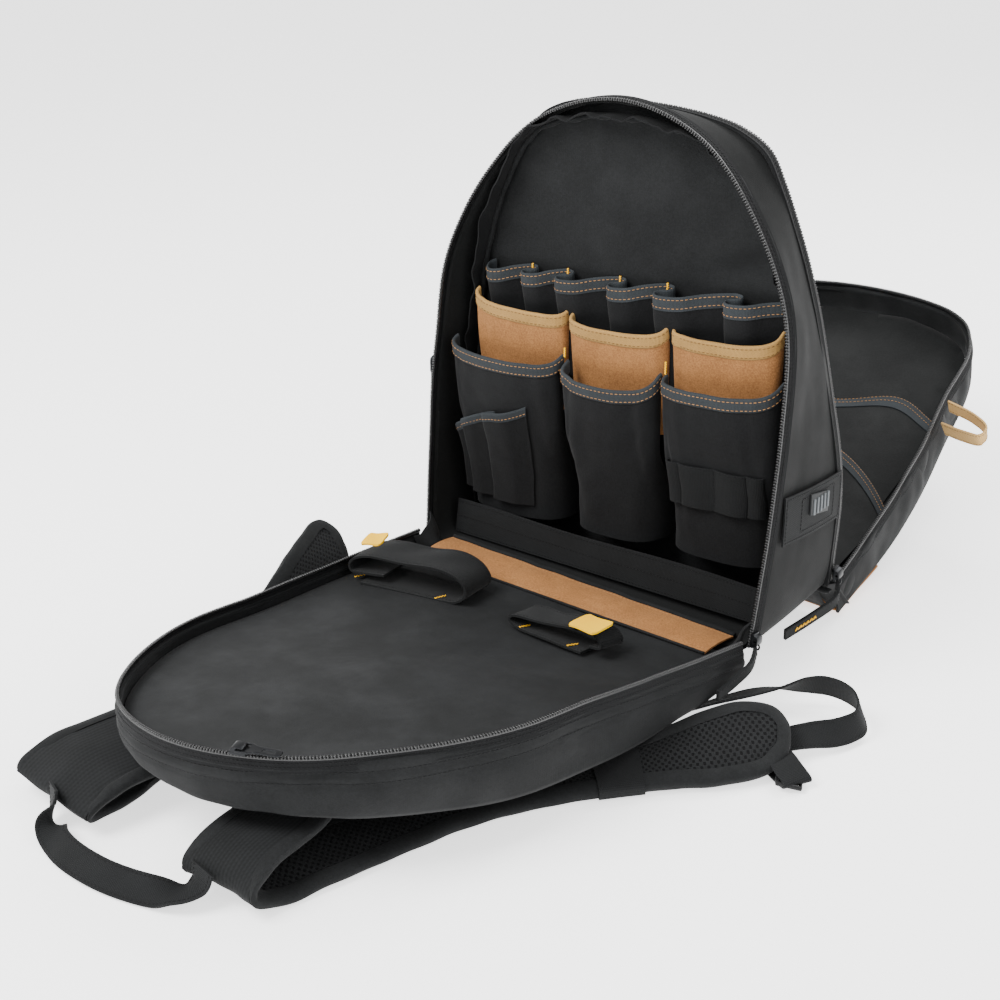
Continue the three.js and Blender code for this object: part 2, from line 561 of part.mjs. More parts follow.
// Two flat pockets sewn to its inside, with slanting bound openings.
const upperRim = (x) => 0.6454 * LID_H + 36 * bell(x, 85, 52);
const lowerRim = (x) => 0.5112 * LID_H - 80 * (Math.max(0, x - 20) / 140) ** 2;
function lidPocket(name, rim, x0, x1, s0, lift) {
  const at = (x, s, extra) => lidAt(x, s, lidFloor(x, s) - lift - extra);
  part(name, sheet((u, v) => {
    const x = lerp(x0, x1, u);
    return at(x, lerp(s0, rim(x) - BIND_H - GAP, v), 2 * Math.sin(u * Math.PI) * v);
  }, 18, 2, 1.4), 'black_cloth');
  part(`${name}_binding`, sheet((u, v) => {
    const x = lerp(x0, x1, u);
    return at(x, lerp(rim(x) - BIND_H + 0.2, rim(x), v), 2 * Math.sin(u * Math.PI));
  }, 18, 1, 2.8), 'grey_binding');
}
lidPocket('lid_upper_pocket', upperRim, wide(-144), wide(146), 0.2166 * LID_H, 4.25);
lidPocket('lid_lower_pocket', lowerRim, wide(-152), wide(156), 24, 8.3);
// Outer pocket under the front panel and the tan foot panel at the hinge end.
const fullness = (t, edge, power) => Math.sin(clamp(t, edge, 1 - edge) * Math.PI) ** power;
const outerFill = (u, v) => 6 + 34 * fullness(v, 0.02, 0.6) * (0.4 + 0.6 * fullness(u, 0.1, 0.4));
part('lid_outer_pocket', sheet((u, v) => {
  const s = lerp(0.2383, 0.7148, v) * LID_H;
  return lidAt(wide(lerp(-110, 110, u)), s, lidDeep(s) - 2.4 + outerFill(u, v) / 2);
}, 8, 6, (u, v) => outerFill(u, v) - 1), 'black_cloth');
part('tan_foot_panel', sheet((u, v) => {
  const s = lerp(12, 92, v);
  const x = wide(lerp(-181, 181, u));
  return lidAt(x, s, lidDeep(s) + 1.5);
}, 8, 3, 1.6), 'tan_canvas');
// Tan webbing loop with a loose end on the far side wall.
const LOOP = [[160, 0.6364, -7.02], [195, 0.6180, -3.50], [219, 0.5872, -1.85], [217, 0.5522, -0.83],
  [192, 0.5749, 5.76], [165, 0.5989, 10.45]];
// Its points give the place across, along the section as a share, and below the rim plane.
part('tan_web_loop', strap(LOOP.map(([x, s, down]) => lidAt(wide(x), s * LID_H, down)),
  14, 20, 1.8, [0.1, -0.5, 0.85]), 'tan_webbing');

// Side pieces
section('side_pieces');
function halfAt(rim, s) {
  for (let i = N_ARCH; i > N_ARCH / 2; i -= 1) {
    const [x1, s1] = rim[i];
    const [x0, s0] = rim[i - 1];
    if (s >= s1 && s <= s0) return lerp(x1, x0, (s - s1) / (s0 - s1));
  }
  return rim[N_ARCH][0];
}
function sideX(y, z) {
  const f = frontAt(0, z - HINGE_Z)[1];
  const r = rearAt(0, z - REAR_Z)[1];
  const v = clamp((y - f) / (r - f), 0, 1);
  const half = lerp(halfAt(rimFront, z - HINGE_Z), halfAt(rimRear, z - REAR_Z), v);
  return half + 3.2 * Math.sin(v * Math.PI) + WALL / 2;
}
part('side_patch', sheet((u, v) => {
  const y = lerp(0.2152, 0.8608, u) * DEPTH;
  const z = lerp(138, 184, v) - 10 * u;
  return [sideX(y, z) + 1.4, y, z];
}, 6, 2, 1.6), 'black_webbing');
part('ribbed_badge', sheet((u, v) => {
  const y = lerp(0.4937, 0.7342, u) * DEPTH;
  const z = lerp(152, 170, v) - 9 * u;
  return [sideX(y, z) + 4.2, y, z];
}, 9, 1, (u) => (Math.round(u * 9) % 2 ? 2.6 : 1.4)), 'patch_rubber');
const pocketSide = (u, z, out) => {
  const y = lerp(0.1646, 0.8354, u) * DEPTH;
  return [-sideX(y, z) - 2.2 - out * Math.sin(u * Math.PI) ** 0.6, y, z];
};
const SIDE_POCKET = [98, 212, 226];    // height of its foot, of its hem and of its rim
part('side_pocket', sheet((u, v) => pocketSide(u, lerp(SIDE_POCKET[0], SIDE_POCKET[1], v), lerp(6, 12, v)),
  12, 3, CLOTH), 'black_cloth');
part('side_pocket_binding', sheet((u, v) => pocketSide(u, lerp(SIDE_POCKET[1] + GAP, SIDE_POCKET[2], v), 12),
  12, 1, CLOTH + 1.6), 'grey_binding');

// Zip sliders and pulls
section('zip_sliders');
// Slider: a small body with a bail; the tray's slider carries a bare metal tab on a pin.
function frameMatrix(at, x, z) {
  const zz = unit(z);
  const xx = unit(add(x, zz, -dot(x, zz)));
  const yy = cross(zz, xx);
  const axes = [xx, yy, zz].map((a) => new THREE.Vector3(...a));
  return new THREE.Matrix4().makeBasis(...axes).setPosition(...at);
}
function extrude(outline, holes, depth) {
  const s = new THREE.Shape(outline.map(([a, b]) => new THREE.Vector2(a, b)));
  for (const h of holes) s.holes.push(new THREE.Path(h.map(([a, b]) => new THREE.Vector2(a, b))));
  const g = new THREE.ExtrudeGeometry(s, { depth, bevelEnabled: false, curveSegments: 6 });
  g.translate(0, 0, -depth / 2);
  return g;
}
const round = (cx, cy, r, n) => Array.from({ length: n }, (_, i) => {
  const a = 2 * Math.PI * i / n;
  return [cx + r * Math.cos(a), cy + r * Math.sin(a)];
});
function place(g, m) {
  g.applyMatrix4(m);
  return g;
}
// Body in profile: flat plates with a bridge over them, the pin's eye in the bridge.
function slider(name, at, x, z, len = 13, wide = 9) {
  const o = [[-len / 2, 0], [len / 2, 0], [len / 2, 2.6], [5.2, 2.8], [4.4, 5.6], [2.4, 6.6], [-2.4, 6.6],
    [-4.4, 5.6], [-5.2, 2.8], [-len / 2, 2.6]];
  const eye = round(0, 4.2, 1.35, 10).reverse();
  const g = extrude(o, [eye], wide);
  g.rotateX(Math.PI / 2);
  return part(name, place(g, frameMatrix(at, x, z)), 'dark_metal');
}

const SLIDE_AT = trayAt(wide(64), 0.9689 * BAG_H, -0.6);
const SLIDE_X = [0.93, 0.36, 0.03];
slider('tray_slider', SLIDE_AT, SLIDE_X, [0, 0, 1]);
// The tab is a flat frame whose end bar runs through the eye; its plate has a slot.
const tabAt = frameMatrix(SLIDE_AT, SLIDE_X, [0, 0, 1]);
const tab = extrude([[-0.75, -6.6], [9, -6.6], [12, -4.4], [30, -4.4], [33, -2.6], [33, 2.6], [30, 4.4],
  [12, 4.4], [9, 6.6], [-0.75, 6.6]], [[[0.75, 5.0], [8, 5.0], [8, -5.0], [0.75, -5.0]],
  [[18, 1.5], [28, 1.5], [28, -1.5], [18, -1.5]]], 1.3);
tab.translate(0, 0, 4.2);
part('tray_pull_tab', place(tab, tabAt), 'dark_metal');

// Sliders at the two hinge corners, each with a webbing pull through its eye's tab.
slider('front_slider', [wide(187.6), 3, HINGE_Z + 17.5], [0, 0.1, 1], [1, 0, 0]);
slider('rear_slider', [wide(186.6), DEPTH - 4, REAR_Z + 17.3], [0, -0.15, 1], [1, 0, 0.05]);
part('front_pull', strap([[191.5, 2, 50.9], [196, -14, 44], [196, -38, 41], [194, -64, 38]]
  .map(([x, y, z]) => [wide(x), y, z]), 8, 9, 3, [0.1, -0.3, 1]), 'black_webbing');
part('rear_pull', strap([[190.5, -5, 50.7], [200, -22, 42], [199, -54, 34], [196, -88, 28]]
  .map(([x, y, z]) => [wide(x), DEPTH + y, z]), 8, 11, 3, [0.1, -0.3, 1]), 'black_webbing');

// Shoulder straps
section('shoulder_straps');
// Each padded strap is one piece: tip, pad, run under the tray and the fold at the tray's
// far end. Rows give its inner and outer edge, and its thickness.
function padded(name, rows, n, material) {
  const a = curve(rows.map((r) => drawn(r[0])), n);
  const b = curve(rows.map((r) => drawn(r[1])), n);
  const th = rows.map((r) => r[2]);
  part(name, sheet((u, v) => {
    const i = Math.round(u * n);
    return mix(a[i], b[i], v);
  }, n, 3, (u, v) => {
    const k = u * (th.length - 1);
    const i = Math.min(th.length - 2, Math.floor(k));
    return lerp(th[i], th[i + 1], k - i) * (0.5 + 0.5 * Math.sin(clamp(v, 0.06, 0.94) * Math.PI) ** 0.5);
  }), material);
  return { a, b };
}
const rightPad = padded('right_shoulder_strap', [
  // inner edge        outer edge        thickness
  [[255, -52, 26], [265, -70, 16], 8],
  [[238, -48, 33], [262, -98, 9], 12],
  [[214, -58, 34], [243, -126, 8], 13],
  [[192, -92, 30], [214, -154, 8], 13],
  [[164, -138, 18], [190, -180, 8], 12],
  [[122, -190, 10], [163, -211, 7.5], 11],
  [[92, -232, 9], [138, -246, 7], 10],
  [[58, -280, 8], [112, -292, 6.5], 9],
  [[34, -335, 8], [93, -350, 6], 8],
  [[16, -390, 8], [76, -405, 6], 8],
  [[2, -436, 8], [64, -446, 6], 8],
  [[-8, -474, 19], [58, -470, 19], 8],
  [[-10, -452, 34], [56, -446, 35], 8],
  [[-10, -410, 39], [56, -400, 40], 8],
  [[-10, -372, 46.6], [52, -362, 46.8], 8],
], 28, 'mesh_cloth');
padded('left_shoulder_strap', [
  [[-238, -68, 44], [-256, -60, 56], 8],
  [[-222, -74, 24], [-268, -68, 68], 12],
  [[-216, -112, 17], [-258, -110, 62], 13],
  [[-217, -160, 12], [-248, -158, 46], 12],
  [[-205, -212, 6.5], [-240, -214, 15], 9],
  [[-160, -268, 6.4], [-214, -284, 7.4], 8],
  [[-142, -320, 6], [-196, -345, 7], 8],
  [[-132, -370, 6], [-198, -392, 7], 8],
  [[-122, -432, 6], [-202, -430, 7], 8],
  [[-114, -478, 18], [-208, -470, 18], 8],
  [[-106, -450, 33], [-206, -440, 32], 8],
  [[-98, -410, 36], [-198, -400, 33], 8],
  [[-94, -350, 43.2], [-182, -340, 37.0], 8],
], 24, 'mesh_cloth');

// Webbing band round the right pad.
const bandFrom = rightPad.b.findIndex((q) => q[1] < -176);
part('pad_band', sheet((u, v) => {
  const k = bandFrom + v * 1.1;
  const i = Math.floor(k);
  const inner = mix(rightPad.a[i], rightPad.a[i + 1], k - i);
  const outer = mix(rightPad.b[i], rightPad.b[i + 1], k - i);
  const across = sub(outer, inner);
  const along = sub(rightPad.b[i + 1], rightPad.b[i]);
  const n = unit(cross(across, along));
  const up = n[2] > 0 ? n : add([0, 0, 0], n, -1);
  const c = Math.cos(u * 2 * Math.PI);
  const k2 = Math.sin(u * 2 * Math.PI);
  const w = 0.5 - (0.5 + 5 / Math.hypot(...across)) * Math.sign(c) * Math.abs(c) ** 0.6;
  return add(mix(inner, outer, w), up, 7.9 * Math.sign(k2) * Math.abs(k2) ** 0.5);
}, 20, 1, 1.6, { loopU: true }), 'black_webbing');
// Adjusting webbing: from the ladder lock out in a loop and back under the tray.
part('right_web_strap', strap([[268, -38, 15], [286, -18, 15], [294, 6, 17], [276, 26, 22], [246, 24, 25],
  [212, -8, 24], [184, -50, 21.5], [164, -88, 19.5]].map(drawn), 24, 24, 1.8,
  (u, q) => {
    const r = unit([q[0] - 232, q[1] + 22, 0]);
    return [r[0], r[1], -0.3 - 2.6 * bell(u, 0.34, 0.17)];
  }), 'black_webbing');
const lock = extrude([[-16, -11], [16, -11], [16, 11], [-16, 11]], [[[-12, 2], [12, 2], [12, 8], [-12, 8]],
  [[-12, -8], [12, -8], [12, -2], [-12, -2]]].map((h) => h.slice().reverse()), 4);
const lockAt = frameMatrix(drawn([277.9, -87.1, 5.5]), [0.45, -0.89, 0], [0.12, 0.1, 1]);
part('ladder_lock', place(lock, lockAt), 'hard_plastic');
// Carrying loop between the two folds.
part('grab_handle', strap([[-152, -477.9, 32], [-150, -482.4, 17], [-134, -497, 9.5], [-104, -507, 9],
  [-63, -508, 9], [-26, -501, 9],
  [2, -490, 10], [12, -479.3, 17], [14, -474.5, 30]].map(drawn), 26, 24, 2,
  (u) => {
    const turn = Math.max(0, Math.abs(2 * u - 1) - 0.62) * 5;
    return add([0, -0.85, 0.3], [1.6, u < 0.5 ? -0.3 : 0.3, 0], turn);
  }), 'black_webbing');

// The origin is put at the middle of the foot of the whole part's box.
const box = new THREE.Box3().setFromObject(group);
group.position.set(-(box.min.x + box.max.x) / 2, -(box.min.y + box.max.y) / 2, -box.min.z);

export default group;
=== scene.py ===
import math

import bmesh
import bpy
import numpy as np
from mathutils import Matrix, Vector
from mathutils.bvhtree import BVHTree


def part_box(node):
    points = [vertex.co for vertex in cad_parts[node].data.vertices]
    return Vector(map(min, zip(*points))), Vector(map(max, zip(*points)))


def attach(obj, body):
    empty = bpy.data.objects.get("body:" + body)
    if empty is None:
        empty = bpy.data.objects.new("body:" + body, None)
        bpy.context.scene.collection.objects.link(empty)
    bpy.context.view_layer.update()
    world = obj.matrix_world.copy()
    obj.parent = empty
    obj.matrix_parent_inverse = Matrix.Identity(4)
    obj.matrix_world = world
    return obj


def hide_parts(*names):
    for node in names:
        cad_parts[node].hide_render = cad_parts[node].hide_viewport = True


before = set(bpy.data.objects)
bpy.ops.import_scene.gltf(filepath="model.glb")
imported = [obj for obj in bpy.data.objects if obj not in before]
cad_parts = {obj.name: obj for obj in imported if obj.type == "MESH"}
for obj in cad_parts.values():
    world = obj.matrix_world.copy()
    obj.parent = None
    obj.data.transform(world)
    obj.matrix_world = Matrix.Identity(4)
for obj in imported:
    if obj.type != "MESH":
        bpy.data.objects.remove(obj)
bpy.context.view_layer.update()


# The view: the open bag seen from above its right-hand hinge corner with a fairly long
# lens. Places are given in millimetres from the middle of the front hinge line, on the
# floor, and the front zip chain of the frame says where that line is.
chain_low, chain_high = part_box("front_zip_chain")
CHAIN_START = 0.00104
hinge_middle = np.array([(chain_low[0] + chain_high[0]) / 2, chain_low[1] - CHAIN_START, 0.0])


def at(places):
    """Places in millimetres from the hinge line, as metres in the frame."""
    return np.asarray(places, dtype=float) / 1000 + hinge_middle


VIEW_TURN = 37.315
VIEW_DOWN = 25.794
camera_data = bpy.data.cameras.new("view_camera")
camera_data.lens = 57.78
camera_data.sensor_width = 36
camera_data.shift_x = -0.0366
camera_data.shift_y = 0.0135
camera = bpy.data.objects.new("view_camera", camera_data)
camera.location = at([768.4, -1068.1, 762.6])
camera.rotation_euler = (math.radians(90 - VIEW_DOWN), 0, math.radians(VIEW_TURN))
bpy.context.scene.collection.objects.link(camera)
bpy.context.scene.camera = camera


# Floor and light: a wide pale sweep under the bag, a large soft lamp over it on the left,
# a weaker one on the right and a lamp behind, as in a product photograph.
def lamp(name, place, aim, width, power):
    data = bpy.data.lights.new(name, "AREA")
    data.shape = "DISK"
    data.size = width
    data.energy = power
    made = bpy.data.objects.new(name, data)
    made.location = at(place)
    made.rotation_euler = Vector(at(aim) - at(place)).to_track_quat("-Z", "Y").to_euler()
    bpy.context.scene.collection.objects.link(made)
    return made


bpy.ops.object.select_all(action="DESELECT")
bpy.ops.mesh.primitive_plane_add(size=30, location=(0, 0, -0.0002))
floor = bpy.context.object
floor.name = "floor"
floor_finish = bpy.data.materials.new("floor_white")
floor_finish.use_nodes = True
floor_finish.node_tree.nodes["Principled BSDF"].inputs["Base Color"].default_value = (0.86, 0.86, 0.86, 1)
floor_finish.node_tree.nodes["Principled BSDF"].inputs["Roughness"].default_value = 0.9
floor_finish.node_tree.nodes["Principled BSDF"].inputs["Emission Color"].default_value = (1, 1, 1, 1)
floor_finish.node_tree.nodes["Principled BSDF"].inputs["Emission Strength"].default_value = 1.5
floor.data.materials.append(floor_finish)
key_lamp = lamp("key_lamp", (-700, -1300, 1900), (0, 0, 150), 1.3, 80)
fill_lamp = lamp("fill_lamp", (1500, -500, 1100), (0, 0, 150), 1.4, 12)
rear_lamp = lamp("rear_lamp", (200, 1500, 1700), (0, 0, 200), 1.2, 40)
world = bpy.data.worlds.new("studio")
bpy.context.scene.world = world
world.use_nodes = True
world.node_tree.nodes["Background"].inputs["Color"].default_value = (1, 1, 1, 1)
world.node_tree.nodes["Background"].inputs["Strength"].default_value = 1.3


# Shader maths. A Shade is one socket of a material's nodes, and arithmetic on it adds the
# Math nodes, so that a finish can be written as an expression.
class Shade:
    def __init__(self, tree, socket):
        self.tree = tree
        self.socket = socket

    def node(self, kind, settings=None, inputs=None, out=0):
        """A new node with its settings and input values or links, as the Shade of one output."""
        new = self.tree.nodes.new(kind)
        for name, value in (settings or {}).items():
            setattr(new, name, value)
        for name, value in (inputs or {}).items():
            if isinstance(value, Shade):
                self.tree.links.new(value.socket, new.inputs[name])
            else:
                new.inputs[name].default_value = value
        return Shade(self.tree, new.outputs[out])

    def math(self, operation, *values):
        return self.node("ShaderNodeMath", {"operation": operation}, dict(enumerate(values)))

    def __add__(self, other):
        return self.math("ADD", self, other)

    def __radd__(self, other):
        return self.math("ADD", other, self)

    def __sub__(self, other):
        return self.math("SUBTRACT", self, other)

    def __rsub__(self, other):
        return self.math("SUBTRACT", other, self)

    def __mul__(self, other):
        return self.math("MULTIPLY", self, other)

    def __rmul__(self, other):
        return self.math("MULTIPLY", other, self)

    def __pow__(self, other):
        return self.math("POWER", self, other)

    def wave(self, length):
        """A sine of this length in metres."""
        return (self * (2 * math.pi / length)).math("SINE", self * (2 * math.pi / length))

    def between(self, low, high):
        """0 below low, 1 above high and smooth in the middle."""
        limits = {"Value": self, "From Min": low, "From Max": high}
        return self.node("ShaderNodeMapRange", {"interpolation_type": "SMOOTHSTEP"}, limits)

    def noise(self, scale, detail=2.0, roughness=0.5):
        """Noise over this place, with scale in features a metre."""
        values = {"Vector": self, "Scale": scale, "Detail": detail, "Roughness": roughness}
        return self.node("ShaderNodeTexNoise", {}, values)

    def blend(self, first, second):
        """Two colours mixed by this factor."""
        values = {0: self, 6: first, 7: second}
        return self.node("ShaderNodeMix", {"data_type": "RGBA"}, values, out=2)

    def axis(self, index):
        return self.node("ShaderNodeSeparateXYZ", {}, {0: self}, out=index)

    def feeds(self, node, name):
        self.tree.links.new(self.socket, node.inputs[name])


def start_finish(name, roughness, metallic=0.0, sheen=0.0, gloss=0.16):
    """An empty finish: its material, its shader, and the Shade of the piece's own place."""
    material = bpy.data.materials.new(name)
    material.use_nodes = True
    tree = material.node_tree
    shader = tree.nodes["Principled BSDF"]
    shader.inputs["Roughness"].default_value = roughness
    shader.inputs["Metallic"].default_value = metallic
    shader.inputs["Sheen Weight"].default_value = sheen
    shader.inputs["Sheen Roughness"].default_value = 0.5
    shader.inputs["Specular IOR Level"].default_value = gloss
    place = Shade(tree, tree.nodes.new("ShaderNodeTexCoord").outputs["Object"])
    return material, shader, place


def relief(height, shader, distance, strength=1.0):
    """Bumps of this depth in metres, where height runs from 0 to 1."""
    values = {"Height": height, "Distance": distance, "Strength": strength}
    height.node("ShaderNodeBump", {}, values).feeds(shader, "Normal")


def linear(red, green, blue):
    """A screen colour of 0 to 255 as the linear colour that a shader takes."""
    steps = [c / 255 for c in (red, green, blue)]
    return tuple([c / 12.92 if c < 0.04 else ((c + 0.055) / 1.055) ** 2.4 for c in steps] + [1.0])


# Cloth of the shell: a plain coated polyester, close woven and matt, a little paler where it
# is rubbed, with painted crease shade in soft light and dark patches. The weave has no
# direction of its own, because the panels lie every way.
THREAD = 0.0011


def woven_finish(name, dark, pale, thread=THREAD, depth=0.00022, roughness=0.88, sheen=0.03, wear_and_crease_shade=0.3):
    material, shader, place = start_finish(name, roughness, sheen=sheen)
    x, y, z = (place.axis(i).wave(thread * 2) for i in range(3))
    weave = 0.5 + 0.25 * (x * y + y * z + z * x)
    fuzz = place.noise(1.1 / thread, 3.0, 0.7)
    clouds = place.noise(14, 4.0, 0.6)
    # Painted crease shade: noise about 17 mm across that darkens and lightens the colour as soft creases
    # would.
    creases = place.noise(60, 3.0, 0.55)
    grain = place.noise(0.45 / thread, 2.0, 0.8)
    fine = weave * 0.1 + fuzz.between(0.34, 0.66) * 0.4 + grain.between(0.36, 0.64) * 0.5
    # Wide tone: paler rubbed patches, together with the painted crease shade.
    wide = clouds.between(0.34, 0.66) * 0.7 + creases.between(0.36, 0.64) * 0.3
    (fine * (1 - wear_and_crease_shade) + wide * wear_and_crease_shade).blend(dark, pale).feeds(shader, "Base Color")
    relief(weave * 0.35 + fuzz * 0.65, shader, depth, 0.8)
    (roughness - 0.12 * clouds.between(0.4, 0.7)).feeds(shader, "Roughness")
    return material


black_cloth = woven_finish("black_polyester", linear(13, 14, 14), linear(25, 26, 27))


def ripple(places, length, seed, directions=5):
    """Smooth uneven waves over places in metres, about -1 to 1, of about this length."""
    turn = np.random.default_rng(seed)
    total = np.zeros(places.shape[:-1])
    for _ in range(directions):
        way = turn.normal(size=3)
        way *= 2 * np.pi / length * turn.uniform(0.6, 1.5) / np.linalg.norm(way)
        total = total + np.sin(places @ way + turn.uniform(0, 2 * np.pi))
    return total / directions ** 0.5 / 1.4


def smooth(share):
    share = np.clip(share, 0, 1)
    return share * share * (3 - 2 * share)


def bell(value, middle, width):
    return np.exp(-((value - middle) / width) ** 2)


def link(name, mesh, finish):
    piece = bpy.data.objects.new(name, mesh)
    bpy.context.scene.collection.objects.link(piece)
    mesh.materials.clear()
    mesh.materials.append(finish)
    return piece


def dress(piece, slot, *nodes, body="root"):
    """The piece rides on its body and stands for its nodes, which are hidden. Its slot is not used."""
    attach(piece, body)
    if nodes:
        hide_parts(*nodes)
    return piece


def soft_copy(node, name, finish, level, folds=None, crease=50):
    """A CAD solid joined, smoothed and folded like cloth. Its thin edges stay crisp."""
    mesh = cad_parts[node].data.copy()
    shape = bmesh.new()
    shape.from_mesh(mesh)
    bmesh.ops.remove_doubles(shape, verts=shape.verts, dist=2e-6)
    bmesh.ops.join_triangles(
        shape, faces=shape.faces, angle_face_threshold=math.radians(40),
        angle_shape_threshold=math.radians(70))
    edge_crease = shape.edges.layers.float.new("crease_edge")
    for edge in shape.edges:
        if len(edge.link_faces) != 2 or edge.calc_face_angle(0) > math.radians(crease):
            edge[edge_crease] = 1.0
    shape.to_mesh(mesh)
    shape.free()
    piece = link(name, mesh, finish)
    bpy.ops.object.select_all(action="DESELECT")
    piece.select_set(True)
    bpy.context.view_layer.objects.active = piece
    finer = piece.modifiers.new("finer", "SUBSURF")
    finer.levels = level
    finer.render_levels = level
    bpy.ops.object.modifier_apply(modifier="finer")
    if folds:
        count = len(piece.data.vertices)
        places = np.empty(count * 3)
        normals = np.empty(count * 3)
        piece.data.vertices.foreach_get("co", places)
        piece.data.vertex_normals.foreach_get("vector", normals)
        places = places.reshape(-1, 3)
        moved = places + folds(places, normals.reshape(-1, 3))
        piece.data.vertices.foreach_set("co", moved.ravel())
        piece.data.update()
    bpy.ops.object.shade_smooth_by_angle(angle=math.radians(50))
    return piece


# Ring wall: the padded side wall of the standing section, one closed band of cloth over
# foam that runs up, over the top and back along the base. It is cut wider than its foam,
# so it wrinkles softly between its two seams, and more on the inside.
ring_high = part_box("main_gusset")[1]
ring_heart = np.array([hinge_middle[0], 0, 0.55 * ring_high[2]])
FRONT_SLOPE = math.tan(math.radians(7.48))
REAR_SLOPE = math.tan(math.radians(6.69))


def ring_share(places):
    """0 at the front rim and 1 at the rear rim of the standing section."""
    front = hinge_middle[1] + (places[..., 2] - 0.0425) * FRONT_SLOPE
    rear = hinge_middle[1] + 0.158 - (places[..., 2] - 0.0437) * REAR_SLOPE
    return np.clip((places[..., 1] - front) / (rear - front), 0, 1)


def ring_folds(places, normals):
    outward = places - ring_heart
    outward[:, 1] = 0
    outward /= np.linalg.norm(outward, axis=1)[:, None]
    share = ring_share(places)
    free = np.sin(np.pi * share) ** 0.7 * smooth((places[:, 2] - 0.05) / 0.05)
    stretched = places * [1.0, 0.45, 1.0]
    waves = ripple(stretched, 0.085, 3) * 0.0012 + ripple(places, 0.034, 4) * 0.0004
    inner = smooth(-(normals * outward).sum(axis=1) * 2)
    waves += inner * ripple(stretched, 0.03, 5) * 0.0011
    hollow = -0.0016 * bell(share, 0.5, 0.3) * smooth((places[:, 2] - 0.2) / 0.1)
    return outward * (free * waves + hollow)[:, None]


# The ring wall takes the black shell cloth at about half its brightness: painted shade, which keeps this
# wall, lit by the lamp on the right, as dark as the tray wall.
ring_cloth_painted_shade = woven_finish("ring_polyester_painted_shade", linear(7, 8, 8), linear(17, 18, 18))
ring_wall = soft_copy("main_gusset", "ring_wall", ring_cloth_painted_shade, 3, ring_folds)
dress(ring_wall, "black_cloth", "main_gusset")


# Zips: each of the four rims carries half of a heavy nylon zip. A woven tape stands
# forward of the shell's seam, two rows of stitches hold it, and the coil of small round
# teeth runs along its edge.
def smooth_line(points, count):
    """Evenly spaced places on a smooth curve through the given ones."""
    given = np.asarray(points, dtype=float)
    held = np.vstack([2 * given[0] - given[1], given, 2 * given[-1] - given[-2]])
    steps = np.linspace(0, len(given) - 1, 16 * len(given))
    first = np.minimum(steps.astype(int), len(given) - 2)
    share = (steps - first)[:, None]
    a, b, c, d = (held[first + k] for k in range(4))
    bend = 2 * a - 5 * b + 4 * c - d + share * (3 * (b - c) + d - a)
    dense = b + 0.5 * share * (c - a + share * bend)
    run = np.r_[0, np.cumsum(np.linalg.norm(np.diff(dense, axis=0), axis=1))]
    even = np.linspace(0, run[-1], count + 1)
    return np.stack([np.interp(even, run, dense[:, k]) for k in range(3)], axis=1)


def rim_path(node, far, count):
    """The middle line of a zip chain node, from its left foot over its far end to the right."""
    places = np.array([v.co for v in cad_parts[node].data.vertices])
    places = np.unique(places.round(6), axis=0)
    reach = places @ np.asarray(far)
    middle = reach.min() + 0.45 * (reach.max() - reach.min())
    sideways = places[:, 0] - (places[:, 0].min() + places[:, 0].max()) / 2
    angle = np.arctan2(sideways, reach - middle)
    order = np.argsort(angle)
    breaks = np.where(np.diff(angle[order]) > 0.02)[0] + 1
    stations = [places[group].mean(axis=0) for group in np.split(order, breaks)]
    return smooth_line(stations, count)


def unit(vectors):
    return vectors / np.maximum(np.linalg.norm(vectors, axis=-1, keepdims=True), 1e-12)


def tangents(line):
    return unit(np.gradient(line, axis=0))


def solid(name, places, faces, finish, uvs=None):
    """A mesh from arrays, its faces turned outwards."""
    places = np.asarray(places)
    faces = [list(f) for f in faces]
    volume = 0.0
    for face in faces:
        a = places[face[0]]
        for k in range(1, len(face) - 1):
            volume += np.dot(a, np.cross(places[face[k]], places[face[k + 1]]))
    if volume < 0:
        faces = [face[::-1] for face in faces]
        uvs = None if uvs is None else [uv[::-1] for uv in uvs]
    mesh = bpy.data.meshes.new(name)
    mesh.from_pydata(places.tolist(), [], faces)
    if uvs is not None:
        layer = mesh.uv_layers.new(name="cloth")
        layer.data.foreach_set("uv", np.asarray(uvs, dtype=float).ravel())
    mesh.shade_smooth()
    return link(name, mesh, finish)


